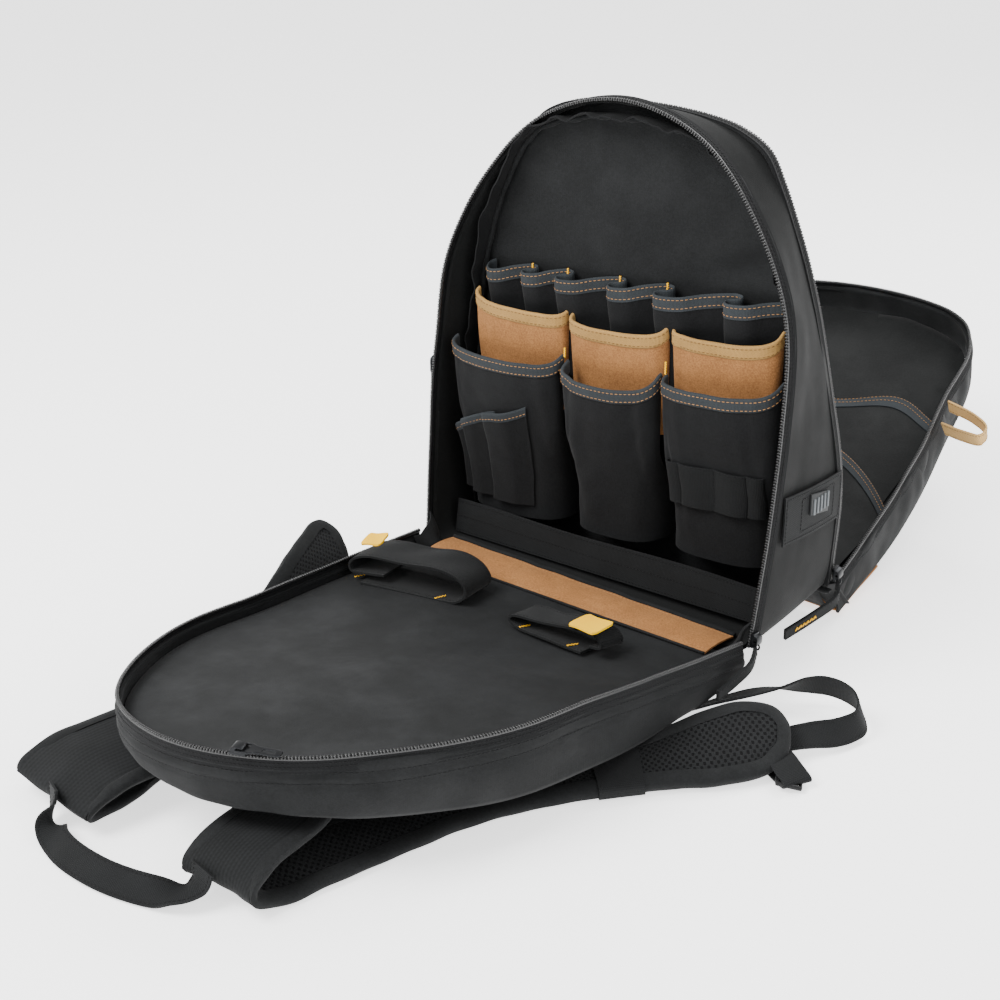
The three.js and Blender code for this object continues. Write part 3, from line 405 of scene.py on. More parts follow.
def cloth_grid(name, middle, thickness, finish, closed=False, back=None):
    """A sheet about a grid of places in metres, with a UV map in metres along its threads.
    Back is the finish of its second face, where that differs."""
    middle = np.asarray(middle)
    rows, columns = middle.shape[:2]
    if closed:
        along = np.roll(middle, -1, axis=0) - np.roll(middle, 1, axis=0)
    else:
        along = np.gradient(middle, axis=0)
    across = np.gradient(middle, axis=1)
    normal = unit(np.cross(along, across))
    half = np.broadcast_to(np.asarray(thickness) / 2, (rows, columns))[..., None]
    face, back_face = middle + normal * half, middle - normal * half
    places = np.concatenate([face.reshape(-1, 3), back_face.reshape(-1, 3)])
    looped = np.concatenate([middle, middle[:1]]) if closed else middle
    run_u = np.r_[0, np.cumsum(np.linalg.norm(np.diff(looped[:, columns // 2], axis=0), axis=1))]
    run_v = np.r_[0, np.cumsum(np.linalg.norm(np.diff(middle[rows // 2], axis=0), axis=1))]
    low = rows * columns
    faces = []
    uvs = []

    def add(*corners):
        faces.append([side * low + (i % rows) * columns + j for side, i, j in corners])
        uvs.extend([run_u[i], run_v[j]] for side, i, j in corners)

    last = rows if closed else rows - 1
    for i in range(last):
        for j in range(columns - 1):
            add((0, i, j), (0, i + 1, j), (0, i + 1, j + 1), (0, i, j + 1))
            add((1, i, j + 1), (1, i + 1, j + 1), (1, i + 1, j), (1, i, j))
        end = columns - 1
        add((1, i, 0), (1, i + 1, 0), (0, i + 1, 0), (0, i, 0))
        add((0, i, end), (0, i + 1, end), (1, i + 1, end), (1, i, end))
    if not closed:
        end = rows - 1
        for j in range(columns - 1):
            add((0, 0, j), (0, 0, j + 1), (1, 0, j + 1), (1, 0, j))
            add((1, end, j), (1, end, j + 1), (0, end, j + 1), (0, end, j))
    mesh = bpy.data.meshes.new(name)
    mesh.from_pydata(places.tolist(), [], faces)
    layer = mesh.uv_layers.new(name="cloth")
    layer.data.foreach_set("uv", np.asarray(uvs).ravel())
    piece = link(name, mesh, finish)
    if back:
        mesh.materials.append(back)
        behind = [int(face[0] >= low and face[2] >= low) for face in faces]
        mesh.polygons.foreach_set("material_index", behind)
    shape = bmesh.new()
    shape.from_mesh(mesh)
    bmesh.ops.recalc_face_normals(shape, faces=shape.faces)
    shape.to_mesh(mesh)
    shape.free()
    bpy.ops.object.select_all(action="DESELECT")
    piece.select_set(True)
    bpy.context.view_layer.objects.active = piece
    bpy.ops.object.shade_smooth_by_angle(angle=math.radians(50))
    return piece


def many(name, shape_places, shape_faces, centres, x_ways, z_ways, finish):
    """One mesh of many copies of a small shape, each turned so that its x and z follow the ways."""
    shape_places = np.asarray(shape_places)
    x_ways = unit(x_ways)
    y_ways = unit(np.cross(z_ways, x_ways))
    z_ways = np.cross(x_ways, y_ways)
    turned = (shape_places[None, :, 0, None] * x_ways[:, None]
              + shape_places[None, :, 1, None] * y_ways[:, None]
              + shape_places[None, :, 2, None] * z_ways[:, None])
    places = (centres[:, None] + turned).reshape(-1, 3)
    count = len(shape_places)
    faces = [[c * count + k for k in face] for c in range(len(centres)) for face in shape_faces]
    mesh = bpy.data.meshes.new(name)
    mesh.from_pydata(places.tolist(), [], faces)
    mesh.shade_smooth()
    return link(name, mesh, finish)


def bead(length, width, height, sides=6):
    """A small rounded bar along x with pinched ends, for teeth and stitches."""
    places = [[-length / 2, 0, -height * 0.2], [length / 2, 0, -height * 0.2]]
    for end in (-0.3, 0.3):
        for k in range(sides):
            turn = 2 * math.pi * k / sides
            places.append([end * length, width / 2 * math.cos(turn), height / 2 * math.sin(turn)])
    faces = []
    for k in range(sides):
        n = (k + 1) % sides
        faces.append([0, 2 + n, 2 + k])
        faces.append([2 + k, 2 + n, 2 + sides + n, 2 + sides + k])
        faces.append([2 + sides + k, 2 + sides + n, 1])
    return places, faces


def spaced(line, pitch, *fields):
    """Places every pitch along a line, its tangents there, and other fields of the line there."""
    run = np.r_[0, np.cumsum(np.linalg.norm(np.diff(line, axis=0), axis=1))]
    count = max(2, int(run[-1] / pitch))
    even = (np.arange(count) + 0.5) * run[-1] / count
    pick = [np.stack([np.interp(even, run, f[:, k]) for k in range(3)], axis=1)
            for f in (line, tangents(line), *fields)]
    return pick


def stitch_row(name, rows, finish, length=0.0029, pitch=0.0039, thread=0.0006):
    """Rows of stitches, each row a line of places with its normals."""
    parts = [spaced(line, pitch, normals) for line, normals in rows]
    centres, ways, normals = (np.concatenate([p[k] for p in parts]) for k in range(3))
    places, faces = bead(length, thread, thread * 0.8, 5)
    return many(name, places, faces, centres, ways, unit(normals), finish)


def thread_finish(name, colour):
    """Twisted polyester thread: fine slanting turns along the stitch."""
    material, shader, place = start_finish(name, 0.55, sheen=0.02)
    turns = place.noise(1900, 2.0)
    turns.blend(tuple(c * 0.75 for c in colour[:3]) + (1,), colour).feeds(shader, "Base Color")
    relief(turns, shader, 0.0001)
    return material


tan_thread = thread_finish("tan_thread", linear(170, 124, 76))
dark_thread = thread_finish("dark_thread", linear(9, 9, 10))


def ribbed_finish(name, dark, pale, rib=0.0011, depth=0.0002, roughness=0.85, sheen=0.02, lengthways=False):
    """Woven tape or webbing: ribs across its run, and fine threads along it, by its UV map."""
    material, shader, place = start_finish(name, roughness, sheen=sheen)
    cloth = place.node("ShaderNodeUVMap", {"uv_map": "cloth"})
    along, across = cloth.axis(0), cloth.axis(1)
    if lengthways:
        along, across = across, along
    ribs = 0.5 + 0.5 * along.wave(rib)
    threads = 0.5 + 0.5 * across.wave(rib * 1.3) * along.wave(rib * 2)
    fuzz = place.noise(900, 3.0, 0.6)
    tone = ribs * 0.3 + threads * 0.2 + fuzz * 0.5 + (place.noise(25, 3.0) - 0.5) * 0.5
    tone.between(0.15, 0.85).blend(dark, pale).feeds(shader, "Base Color")
    relief(ribs * 0.5 + threads * 0.5, shader, depth)
    return material


zip_tape_cloth = ribbed_finish("zip_tape", linear(9, 9, 10), linear(19, 20, 21), rib=0.0009)


def nylon_finish():
    """Black moulded nylon with a soft shine and faint handling marks."""
    material, shader, place = start_finish("nylon_coil", 0.3, gloss=0.6)
    marks = place.noise(500, 2.0)
    marks.blend(linear(4, 4, 5), linear(11, 11, 12)).feeds(shader, "Base Color")
    (0.22 + 0.2 * marks).feeds(shader, "Roughness")
    return material


nylon_coil = nylon_finish()
TOOTH_PITCH = 0.0025
TAPE_WIDTH = 0.0115
RIM_STEPS = 320


def zip_half(name, node, far, out):
    """Coil, tape and seam of one rim. Out points away from the shell, along the opening."""
    out = np.asarray(out, dtype=float)
    line = rim_path(node, far, RIM_STEPS)
    side = unit(np.cross(tangents(line), out))
    heart = line.mean(axis=0)
    if ((line - heart) * side).sum(axis=1).mean() < 0:
        side = -side
    sway = ripple(line, 0.11, 21)[:, None] * 0.0007
    edge = line + out * 0.0022 + side * sway
    bow = np.linspace(0, 1, 5)
    tape = np.stack([edge - out * TAPE_WIDTH * b + side * (0.0022 * b ** 2 + 0.0004) for b in bow], axis=1)
    strip = cloth_grid(f"{name}_tape", tape, 0.0011, zip_tape_cloth)
    dress(strip, "zip_nylon", node)
    places, faces = bead(0.0040, 0.0020, 0.0022, 6)
    centres, ways, sides = spaced(edge + out * 0.0002, TOOTH_PITCH, side)
    outs = np.broadcast_to(out, centres.shape)
    slant = np.where(np.arange(len(centres)) % 2, 0.16, -0.16)[:, None]
    coil = many(f"{name}_coil", places, faces, centres, unit(sides + ways * slant), outs, nylon_coil)
    dress(coil, "zip_nylon")
    core = sweep_round(f"{name}_core", edge - out * 0.0013, 0.0013, nylon_coil)
    dress(core, "zip_nylon")
    ridge_line = edge - out * 0.0098 + side * 0.0006
    ridge_radius = 0.0021 * (1 + 0.08 * ripple(ridge_line, 0.03, 22))
    ridge = sweep_round(f"{name}_ridge", ridge_line, ridge_radius, black_cloth)
    dress(ridge, "black_cloth")
    rows = []
    for inset in (0.0042, 0.0072):
        share = inset / TAPE_WIDTH
        rows.append((edge - out * inset + side * (0.0022 * share ** 2 + 0.0012), side))
    dress(stitch_row(f"{name}_stitches", rows, dark_thread, 0.0026, 0.0034, 0.0005), "zip_nylon")
    return edge, side, out


def sweep_round(name, line, radius, finish, sides=8):
    """A round cord along a line, with closed ends."""
    ways = tangents(line)
    first = unit(np.cross(ways, [0.13, 0.21, 0.97]))
    second = np.cross(ways, first)
    turns = 2 * np.pi * np.arange(sides) / sides
    radius = np.broadcast_to(radius, len(line))[:, None, None]
    around = first[:, None] * np.cos(turns)[:, None] + second[:, None] * np.sin(turns)[:, None]
    rings = line[:, None] + radius * around
    places = rings.reshape(-1, 3)
    faces = []
    for i in range(len(line) - 1):
        for k in range(sides):
            n = (k + 1) % sides
            faces.append([i * sides + k, i * sides + n, (i + 1) * sides + n, (i + 1) * sides + k])
    faces.append(list(range(sides))[::-1])
    faces.append([(len(line) - 1) * sides + k for k in range(sides)])
    return solid(name, places, faces, finish)


FRONT_OUT = np.array([0, -math.cos(math.radians(7.48)), math.sin(math.radians(7.48))])
REAR_OUT = np.array([0, math.cos(math.radians(6.69)), math.sin(math.radians(6.69))])
LID_LAY = math.radians(71.83)
LID_UP = np.array([0, -math.cos(LID_LAY), math.sin(LID_LAY)])
LID_FAR = np.array([0, math.sin(LID_LAY), math.cos(LID_LAY)])
front_rim = zip_half("front_zip", "front_zip_chain", [0, 0, 1], FRONT_OUT)
rear_rim = zip_half("rear_zip", "rear_zip_chain", [0, 0, 1], REAR_OUT)
tray_rim = zip_half("tray_zip", "tray_zip_chain", [0, -1, 0], [0, 0, 1])
lid_rim = zip_half("lid_zip", "lid_zip_chain", LID_FAR, LID_UP)


# Divider: one stiffened cloth panel across the ring wall, leaning and set a little askew.
# Nothing is behind its upper half, so it draws slightly towards its edge seam.
def divider_y(x, z):
    return 98 + 0.05 * x - 0.045 * (z - 42.5)


def divider_folds(places, normals):
    x = (places[:, 0] - hinge_middle[0]) * 1000
    z = places[:, 2] * 1000
    drawn = 4.2 * bell(z, 352, 15) * bell(x, 118, 46) + 3.0 * bell(z, 345, 14) * bell(x, -120, 36)
    drawn += 2.4 * bell(z - 0.35 * x, 318, 11) * smooth((x - 20) / 80)
    drawn += 2.0 * bell(z + 0.3 * x, 462, 10) * smooth((z - 300) / 60)
    waves = ripple(places, 0.16, 11) * 1.8 + ripple(places, 0.05, 12) * 0.5
    return np.stack([0 * x, (waves + drawn) / 1000, 0 * x], axis=1)


divider = soft_copy("divider_panel", "divider", black_cloth, 3, divider_folds)
dress(divider, "black_cloth", "divider_panel")


# Edge seam of the divider: a soft folded tape that gathers where the panel is sewn into
# the ring wall, with a line of piping beside it.
def wall_loop(inset, depth):
    """The divider's outline as the ring wall gives it, drawn in by inset, in millimetres."""
    low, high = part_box("divider_panel")
    front = rim_path("front_zip_chain", [0, 0, 1], 200)
    rear = rim_path("rear_zip_chain", [0, 0, 1], 200)
    line = front * 0.42 + rear * 0.58
    heart = np.array([hinge_middle[0], 0, 0.25])
    inward = heart - line
    inward[:, 1] = 0
    line = line + unit(inward) * inset
    x = (line[:, 0] - hinge_middle[0]) * 1000
    line[:, 1] = hinge_middle[1] + (divider_y(x, line[:, 2] * 1000) - depth) / 1000
    line[:, 2] = np.minimum(line[:, 2], high[2] - 0.001)
    return line, unit(inward)


seam_line, seam_in = wall_loop(0.0075, 4.0)
gather = ripple(seam_line, 0.016, 31)[:, None]
gather_slow = ripple(seam_line, 0.045, 32)[:, None]
forward = np.array([0, -1.0, 0])
seam_tape = []
for v in np.linspace(0, 1, 7):
    gathered = 0.0012 + gather * 0.0026 * v + gather_slow * 0.0022 * v
    seam_tape.append(seam_line + forward * (0.017 * v) + seam_in * gathered)
dress(cloth_grid("divider_seam", np.stack(seam_tape, axis=1), 0.0013, zip_tape_cloth), "black_cloth")
piping_line = seam_line + seam_in * (0.004 + 0.0008 * gather) + forward * (0.0012 + 0.0009 * gather_slow)
piping = sweep_round("divider_piping", piping_line, 0.0024 * (1 + 0.2 * gather[:, 0]), black_cloth)
dress(piping, "black_cloth")


# Pockets: each is one cloth front sewn to the divider at its two sides and its foot. It is
# cut wider than its place, so it stands out round, and a tape binds its rim with two rows
# of stitches. Heights and places are in millimetres over the hinge line.
CLOTH = 1.6
BIND_HEIGHT = 13
POCKET_STEPS = 96
grey_tape = ribbed_finish("grey_tape", linear(30, 33, 35), linear(52, 56, 59), rib=0.0012)
tan_tape = ribbed_finish("tan_tape", linear(126, 96, 52), linear(168, 132, 78), rib=0.0012, sheen=0.05)


def canvas_finish():
    """Tan brushed canvas: warm, slightly mottled, with a fine raised grain."""
    material, shader, place = start_finish("tan_canvas", 0.85, sheen=0.08)
    shader.inputs["Sheen Tint"].default_value = linear(255, 214, 170)
    grain = place.noise(1300, 4.0, 0.7)
    blotch = place.noise(110, 3.0, 0.6)
    clouds = place.noise(22, 3.0)
    thread = place.noise(620, 2.0, 0.8)
    tone = (grain * 0.35 + thread * 0.4 + blotch * 0.1 + clouds * 0.15).between(0.34, 0.66)
    tone.blend(linear(116, 76, 42), linear(160, 112, 68)).feeds(shader, "Base Color")
    relief(grain * 0.8 + blotch * 0.2, shader, 0.00035, 0.8)
    return material


tan_canvas = canvas_finish()
pocket_cloth = woven_finish("pocket_polyester", linear(10, 10, 11), linear(20, 21, 22), depth=0.0003)

POCKETS = [
    # name              left  right  foot rise  left/right rim   dip  off  deep low pinch
    ("tan_pocket_left", -160, -60, 190, 0, 296, 292, 8, 17.6, 13, 8, 2),
    ("tan_pocket_middle", -54, 48, 190, 0, 290, 300, 10, 17.6, 14, 8, 2),
    ("tan_pocket_right", 54, 158, 195, 8, 298, 314, 10, 17.6, 13, 8, 2),
    ("black_pocket_left", -174, -54, 72, 8, 250, 254, 10, 35.5, 20, 8, 4),
    ("black_pocket_middle", -48, 50, 80, 7, 250, 258, 14, 35.5, 23, 10, 3),
    ("black_pocket_right", 56, 170, 87, 8, 258, 276, 10, 35.5, 21, 10, 4),
]


class Pocket:
    """The curved front of one pocket, as a function of the share across it and the height."""

    def __init__(self, name, left, right, foot, rise, rim_left, rim_right, dip, off, deep, low, pinch):
        self.name = name
        self.left, self.right, self.foot, self.rise = left, right, foot, rise
        self.rim_left, self.rim_right, self.dip = rim_left, rim_right, dip
        self.off, self.deep, self.low, self.pinch = off, deep, low, pinch
        self.tan = name.startswith("tan")
        self.free, self.flare = (194, 28) if self.tan else (120, 66)
        self.seed = int(right + 400)

    def rim(self, u):
        level = self.rim_left + (self.rim_right - self.rim_left) * u
        return level - self.dip * np.sin(u * np.pi) ** 0.8

    def root(self, u):
        return self.foot + self.rise * u

    def front(self, u, z, out=0.0):
        turn = u * np.pi
        plan_x = np.sign(np.cos(turn)) * np.abs(np.cos(turn)) ** 0.72
        plan_y = np.maximum(np.sin(turn), 0) ** 0.62
        top = self.rim_left + (self.rim_right - self.rim_left) * u
        rise = np.clip((z - self.foot) / (top - self.foot), 0, 1.1)
        off = CLOTH / 2 + 1.25 + (self.off - CLOTH / 2 - 1.25) * smooth((z - self.free) / self.flare)
        swell = self.off + self.low + (self.deep - self.low) * smooth(rise) - off + out
        half = (self.right - self.left) / 2 - self.pinch * (1 - smooth(rise))
        x = (self.left + self.right) / 2 - plan_x * (half + out)
        shift_x, shift_y = self.folds(u, z, rise, plan_y)
        return np.stack([x + shift_x, divider_y(x, z) - off - swell * plan_y + shift_y, z], axis=-1)

    def folds(self, u, z, rise, plan_y):
        """Soft creases of the cloth: slanting pulls from the roots and a slack dent in the front."""
        held = np.minimum(smooth(rise * 5), 1) * plan_y
        place = np.stack([u * 0.16 + 0 * z, z / 1000 * 0.6, 0 * z + self.seed], axis=-1)
        waves = ripple(place, 0.045, self.seed) * 1.5 + ripple(place, 0.02, self.seed + 1) * 0.45
        lean = 2.4 * bell(u + 0.25 * rise, 0.86, 0.07) * smooth(rise * 1.6) * (1 - 0.4 * rise)
        lean += 1.6 * bell(u - 0.12 * rise, 0.14, 0.06) * smooth(rise * 2)
        dent = 2.2 * bell(u, 0.55, 0.22) * bell(rise, 0.35, 0.25)
        calm = 0.55 if self.tan else 1.0
        return 0.8 * waves * held * calm, (waves * 0.9 * held + (lean + dent) * plan_y) * calm


def pocket_pieces(pocket):
    u, v = np.meshgrid(np.linspace(0, 1, POCKET_STEPS + 1), np.linspace(0, 1, 41), indexing="ij")
    z = pocket.root(u) + (pocket.rim(u) - 5 - pocket.root(u)) * v
    cloth = tan_canvas if pocket.tan else pocket_cloth
    front = cloth_grid(f"{pocket.name}_front", at(pocket.front(u, z)), CLOTH / 1000, cloth)
    dress(front, "tan_canvas" if pocket.tan else "black_cloth", pocket.name)
    girth = np.linalg.norm(np.diff(at(pocket.front(u[:, 20], z[:, 20])), axis=0), axis=1).sum()
    height = (pocket.rim_left - pocket.foot) / 1000
    u, v = np.meshgrid(np.linspace(0, 1, POCKET_STEPS + 1), np.linspace(0, 1, 15), indexing="ij")
    z = pocket.rim(u) - BIND_HEIGHT * (1 - v)
    rounded = np.sqrt(np.clip(1 - np.clip((v - 0.84) / 0.17, 0, 1) ** 2, 0.02, 1))
    hem = np.sqrt(np.clip(1 - np.clip((0.1 - v) / 0.11, 0, 1) ** 2, 0.1, 1))
    binding = cloth_grid(
        f"{pocket.name}_tape", at(pocket.front(u, z)), (CLOTH + 2.0) / 1000 * rounded * hem,
        tan_tape if pocket.tan else grey_tape)
    node = f"{pocket.name}_binding"
    dress(binding, "tan_binding" if pocket.tan else "grey_binding", node)
    share = np.linspace(0.005, 0.995, 240)
    rows = []
    for height in (BIND_HEIGHT - 2.4, 3.0):
        line = at(pocket.front(share, pocket.rim(share) - height, 1.9))
        ways = tangents(line)
        rows.append((line, unit(np.cross(ways, [0, 0, 1.0]))))
    thread = tan_binding_thread if pocket.tan else tan_thread
    row = stitch_row(f"{pocket.name}_stitches", rows, thread, 0.003, 0.0041, 0.00065)
    dress(row, "tan_binding" if pocket.tan else "grey_binding")
    return front


tan_binding_thread = thread_finish("brown_thread", linear(96, 62, 28))
pockets = [Pocket(*row) for row in POCKETS]
for one in pockets:
    pocket_pieces(one)


# Sleeves: six narrow tubes sewn from one strip. At each seam the strip doubles back on
# itself, so each tube's left side laps over the seam before it, and a yellow bar tack
# holds the seam at the top.
def strip_line(roots, depths, first_lap=True):
    """The strip's run in plan: places (sideways, forward) from its first root to its last."""
    plan = []
    for number, (left, right) in enumerate(zip(roots[:-1], roots[1:])):
        wide = right - left
        depth = depths[number]
        lap = depth * 0.36
        if number or first_lap:
            plan += [
                (left, 0.10 * depth), (left + lap * 0.9, 0.17 * depth), (left + lap * 1.25, 0.36 * depth),
                (left + lap * 0.7, 0.52 * depth), (left - lap * 0.1, 0.60 * depth),
                (left - lap * 0.45, 0.78 * depth), (left + lap * 0.05, 0.97 * depth)]
        else:
            plan += [
                (left, 0.1 * depth), (left - 0.12 * depth, 0.4 * depth), (left + 0.02 * depth, 0.8 * depth)]
        plan += [
            (left + 0.16 * wide, depth), (left + 0.36 * wide, 0.88 * depth),
            (left + 0.58 * wide, 0.50 * depth),
            (left + 0.80 * wide, 0.24 * depth), (left + 0.93 * wide, 0.13 * depth)]
    plan.append((roots[-1], 0.1 * depths[-1]))
    line = np.array([(x, y, 0.0) for x, y in plan])
    return smooth_line(line, 52 * len(depths))[:, :2]


SLEEVE_ROOTS = [-150, -108, -69, -13, 36, 104, 160]
SLEEVE_FOOT = 232
sleeve_plan = strip_line(SLEEVE_ROOTS, [19, 18, 20, 20, 22, 19], first_lap=False)
sleeve_share = (sleeve_plan[:, 0] - SLEEVE_ROOTS[0]) / (SLEEVE_ROOTS[-1] - SLEEVE_ROOTS[0])
sleeve_rim = 322 + 15 * np.clip(sleeve_share, 0, 1)


def sleeve_places(z, out=0.0):
    """The strip at heights z, an array of one column for each level."""
    plan = sleeve_plan[:, None]
    forward_way = np.stack([-np.gradient(sleeve_plan[:, 1]), np.gradient(sleeve_plan[:, 0])], axis=1)
    forward_way = unit(forward_way)[:, None] * out
    drop = 5.5 * (plan[..., 1] / 20)
    narrow = 0.72 + 0.28 * smooth((z - 280) / 34)
    x = plan[..., 0] + forward_way[..., 0] + 0 * z
    depth = plan[..., 1] * narrow + forward_way[..., 1]
    return at(np.stack([x, divider_y(x, z) - 2.2 - depth, z - drop], axis=-1))


levels = np.linspace(0, 1, 25)[None]
strip_z = SLEEVE_FOOT + (sleeve_rim[:, None] - 5 - SLEEVE_FOOT) * levels
sleeve_strip = cloth_grid("sleeve_cloth", sleeve_places(strip_z), 0.0012, pocket_cloth)
dress(sleeve_strip, "black_cloth", "sleeve_strip")
levels = np.linspace(0, 1, 13)[None]
tape_fall = np.clip((levels - 0.84) / 0.17, 0, 1)
tape_edge = np.sqrt(np.clip(1 - tape_fall ** 2, 0.02, 1)) + 0 * sleeve_rim[:, None]
tape_z = sleeve_rim[:, None] - BIND_HEIGHT * (1 - levels)
sleeve_tape = cloth_grid("sleeve_tape", sleeve_places(tape_z), 0.0026 * tape_edge, grey_tape)
dress(sleeve_tape, "grey_binding", "sleeve_strip_binding")
sleeve_rows = []
for drop in (2.6, BIND_HEIGHT - 2.6):
    line = sleeve_places((sleeve_rim - drop)[:, None], 1.4)[:, 0]
    sleeve_rows.append((line, unit(np.cross(tangents(line), [0, 0, 1.0]))))
dress(stitch_row("sleeve_stitches", sleeve_rows, tan_thread, 0.0029, 0.004, 0.0006), "grey_binding")


# Bar tacks: short dense zigzags of bright yellow thread at every seam that takes a load.
yellow_thread = thread_finish("yellow_thread", linear(255, 190, 6))


def bar_tacks(name, tacks, body_slot, width=0.0024, pitch=0.0011, thread=0.0011):
    """Each tack is its two end places and the way it faces."""
    centres, ways, faces_to = [], [], []
    for start, end, normal in tacks:
        start, end, normal = np.array(start), np.array(end), unit(np.array(normal, dtype=float))
        length = np.linalg.norm(end - start)
        run = (end - start) / length
        side = np.cross(normal, run)
        count = max(3, int(length / pitch))
        for k in range(count):
            slant = 0.55 if k % 2 else -0.2
            centres.append(start + run * length * (k + 0.5) / count + normal * 0.0002 * (k % 2))
            ways.append(side + run * slant)
            faces_to.append(normal)
    places, faces = bead(width, thread, thread, 6)
    made = many(name, places, faces, np.array(centres), np.array(ways), np.array(faces_to), yellow_thread)
    return dress(made, body_slot)


sleeve_tacks = []
for number, root in enumerate(SLEEVE_ROOTS[1:5]):
    rim_here = 322 + 15 * (root + 150) / 310
    top = at([root + 1.5, divider_y(root, rim_here) - 6.0, rim_here + 0.8])
    foot = at([root + 1.5, divider_y(root, rim_here) - 6.2, rim_here - (17 if number == 3 else 11)])
    sleeve_tacks.append((top, foot, [0.1, -1, 0.1]))
bar_tacks("sleeve_tacks", sleeve_tacks, "grey_binding")
pocket_tacks = []
for x, z, drop in ((-48, 263, 9), (58, 272, 12)):
    top = at([x, divider_y(x, z) - 40.5, z])
    pocket_tacks.append((top, top - np.array([0, 0, drop / 1000]), [0, -1, 0.15]))
bar_tacks("pocket_tacks", pocket_tacks, "grey_binding")


# Pen sleeves: three small tubes of the same strip on the left black pocket, their bound
# mouth cut on a slant that rises to the right.
def on_pocket(pocket, first, last, plan, z):
    """Places on a pocket's front: plan holds shares of the way from first to last, and depths."""
    share = first + (last - first) * plan[:, :1]
    return at(pocket.front(share + 0 * z, z + 0 * share, plan[:, 1:2]))


pen_pocket = pockets[3]
PEN_WIDE = 54.0
pen_plan = strip_line([0, 18, 36, 54], [7.2, 7.4, 7.0], first_lap=False) / [PEN_WIDE, 1.0]
pen_plan[:, 1] += 1.6
pen_rim = 158 + 42 * np.clip(pen_plan[:, :1], 0, 1)
levels = np.linspace(0, 1, 17)[None]
pen_places = on_pocket(pen_pocket, 0.17, 0.62, pen_plan, 92 + (pen_rim - 95) * levels)
pens = cloth_grid("pen_cloth", pen_places, 0.0012,
                  pocket_cloth)
dress(pens, "black_cloth", "pen_sleeves")
levels = np.linspace(0, 1, 9)[None]
pen_edge = np.sqrt(np.clip(1 - np.clip((levels - 0.8) / 0.21, 0, 1) ** 2, 0.02, 1)) + 0 * pen_rim
pen_tape = cloth_grid("pen_tape", on_pocket(pen_pocket, 0.17, 0.62, pen_plan, pen_rim - 9 * (1 - levels)),
                      0.0023 * pen_edge, grey_tape)
dress(pen_tape, "grey_binding", "pen_sleeves_binding")
pen_row = on_pocket(pen_pocket, 0.17, 0.62, pen_plan + [0, 1.3], pen_rim - 6.6)[:, 0]
pen_face = unit(np.cross(tangents(pen_row), [0, 0, 1.0]))
dress(stitch_row("pen_stitches", [(pen_row, pen_face)], tan_thread, 0.0027, 0.0038, 0.0006), "grey_binding")


# Loop strip: a webbing tape across the right black pocket, sewn down at five places so
# that it stands off in four cells for hanging small tools.
webbing = ribbed_finish(
    "black_webbing_weave", linear(13, 14, 14), linear(26, 27, 28), rib=0.0014, depth=0.0003)
loop_pocket = pockets[5]


def loop_places(u, v, out=0.0):
    z = 140 + 42 * v + 6 * u
    off = 1.75 + 3.6 * np.abs(np.sin(4 * np.pi * u)) ** 0.6 + out
    return at(loop_pocket.front(0.2 + 0.6 * u, z, off))


u, v = np.meshgrid(np.linspace(0, 1, 97), np.linspace(0, 1, 11), indexing="ij")
loops = cloth_grid("loop_webbing", loop_places(u, v), 0.0015, webbing)
dress(loops, "black_webbing", "loop_strip")
cell_rows = []
for share in (0.006, 0.25, 0.5, 0.75, 0.994):
    v = np.linspace(0.02, 0.98, 30)
    line = loop_places(np.full(30, share), v, 0.95)
    cell_rows.append((line, unit(np.cross(tangents(line), [1.0, 0, 0])) * [1, 1, 1]))
dress(stitch_row("loop_stitches", cell_rows, dark_thread, 0.0026, 0.0032, 0.0008), "black_webbing")


# Foot of the standing section: a wide webbing band keeps tool ends off the wall, and a
# tan canvas flap bridges the hinge from the base over to the tray's lining.
u, v = np.meshgrid(np.linspace(0, 1, 97), np.linspace(0, 1, 15), indexing="ij")
x = -172 + 342 * u
band_waves = 1.1 * np.sin(u * 9 + 1) * v + 0.7 * np.sin(u * 23) * v * (1 - v)
band_y = 36 + 5 * v + 0.02 * x + band_waves
band_z = 48.9 + 33.1 * v + 0.02 * x + 0.6 * band_waves
band_places = at(np.stack([x, band_y, band_z], -1))
band = cloth_grid("foot_webbing", band_places, 0.0019, webbing)
dress(band, "black_webbing", "foot_band")
band_rows = []
for column in (1, 7, 13):
    line = band_places[:, column] + [0, -0.0011, 0]
    band_rows.append((line, np.broadcast_to([0, -1.0, 0.15], line.shape)))
dress(stitch_row("foot_stitches", band_rows, dark_thread, 0.0027, 0.0036, 0.0007), "black_webbing")

u, v = np.meshgrid(np.linspace(0, 1, 121), np.linspace(0, 1, 21), indexing="ij")
x = -164 + 324 * u
z = 44.85 + 2.2 * np.sin(np.pi * v) + (1.3 + 0.012 * x) * v
flap_places = at(np.stack([x - 3 * v, 20 - 46 * v, z], -1))
flap_places[..., 2] += ripple(flap_places, 0.05, 51) * 0.0007 * np.sin(np.pi * v) ** 0.5
flap = cloth_grid("hinge_canvas", flap_places, 0.0017, tan_canvas)
dress(flap, "tan_canvas", "hinge_flap")
upper_edge = smooth_line(flap_places[::8, 0] + [0, 0.0006, 0.0012], 160)
edge_waves = ripple(upper_edge, 0.04, 52) * 0.0007, ripple(upper_edge, 0.03, 53) * 0.0005
upper_edge += np.stack([0 * upper_edge[:, 0], *edge_waves], 1)
dress(sweep_round("hinge_ridge", upper_edge, 0.0024, black_cloth), "black_cloth")
lower_edge = flap_places[:, -1] + [0, -0.0004, 0.0006]
dress(sweep_round("hinge_hem", lower_edge, 0.0014, black_cloth), "black_cloth")
hem_rows = []
for column, lift in ((2, 0.0011), (18, 0.0011)):
    line = flap_places[:, column] + [0, 0, lift]
    hem_rows.append((line, np.broadcast_to([0, 0, 1.0], line.shape)))
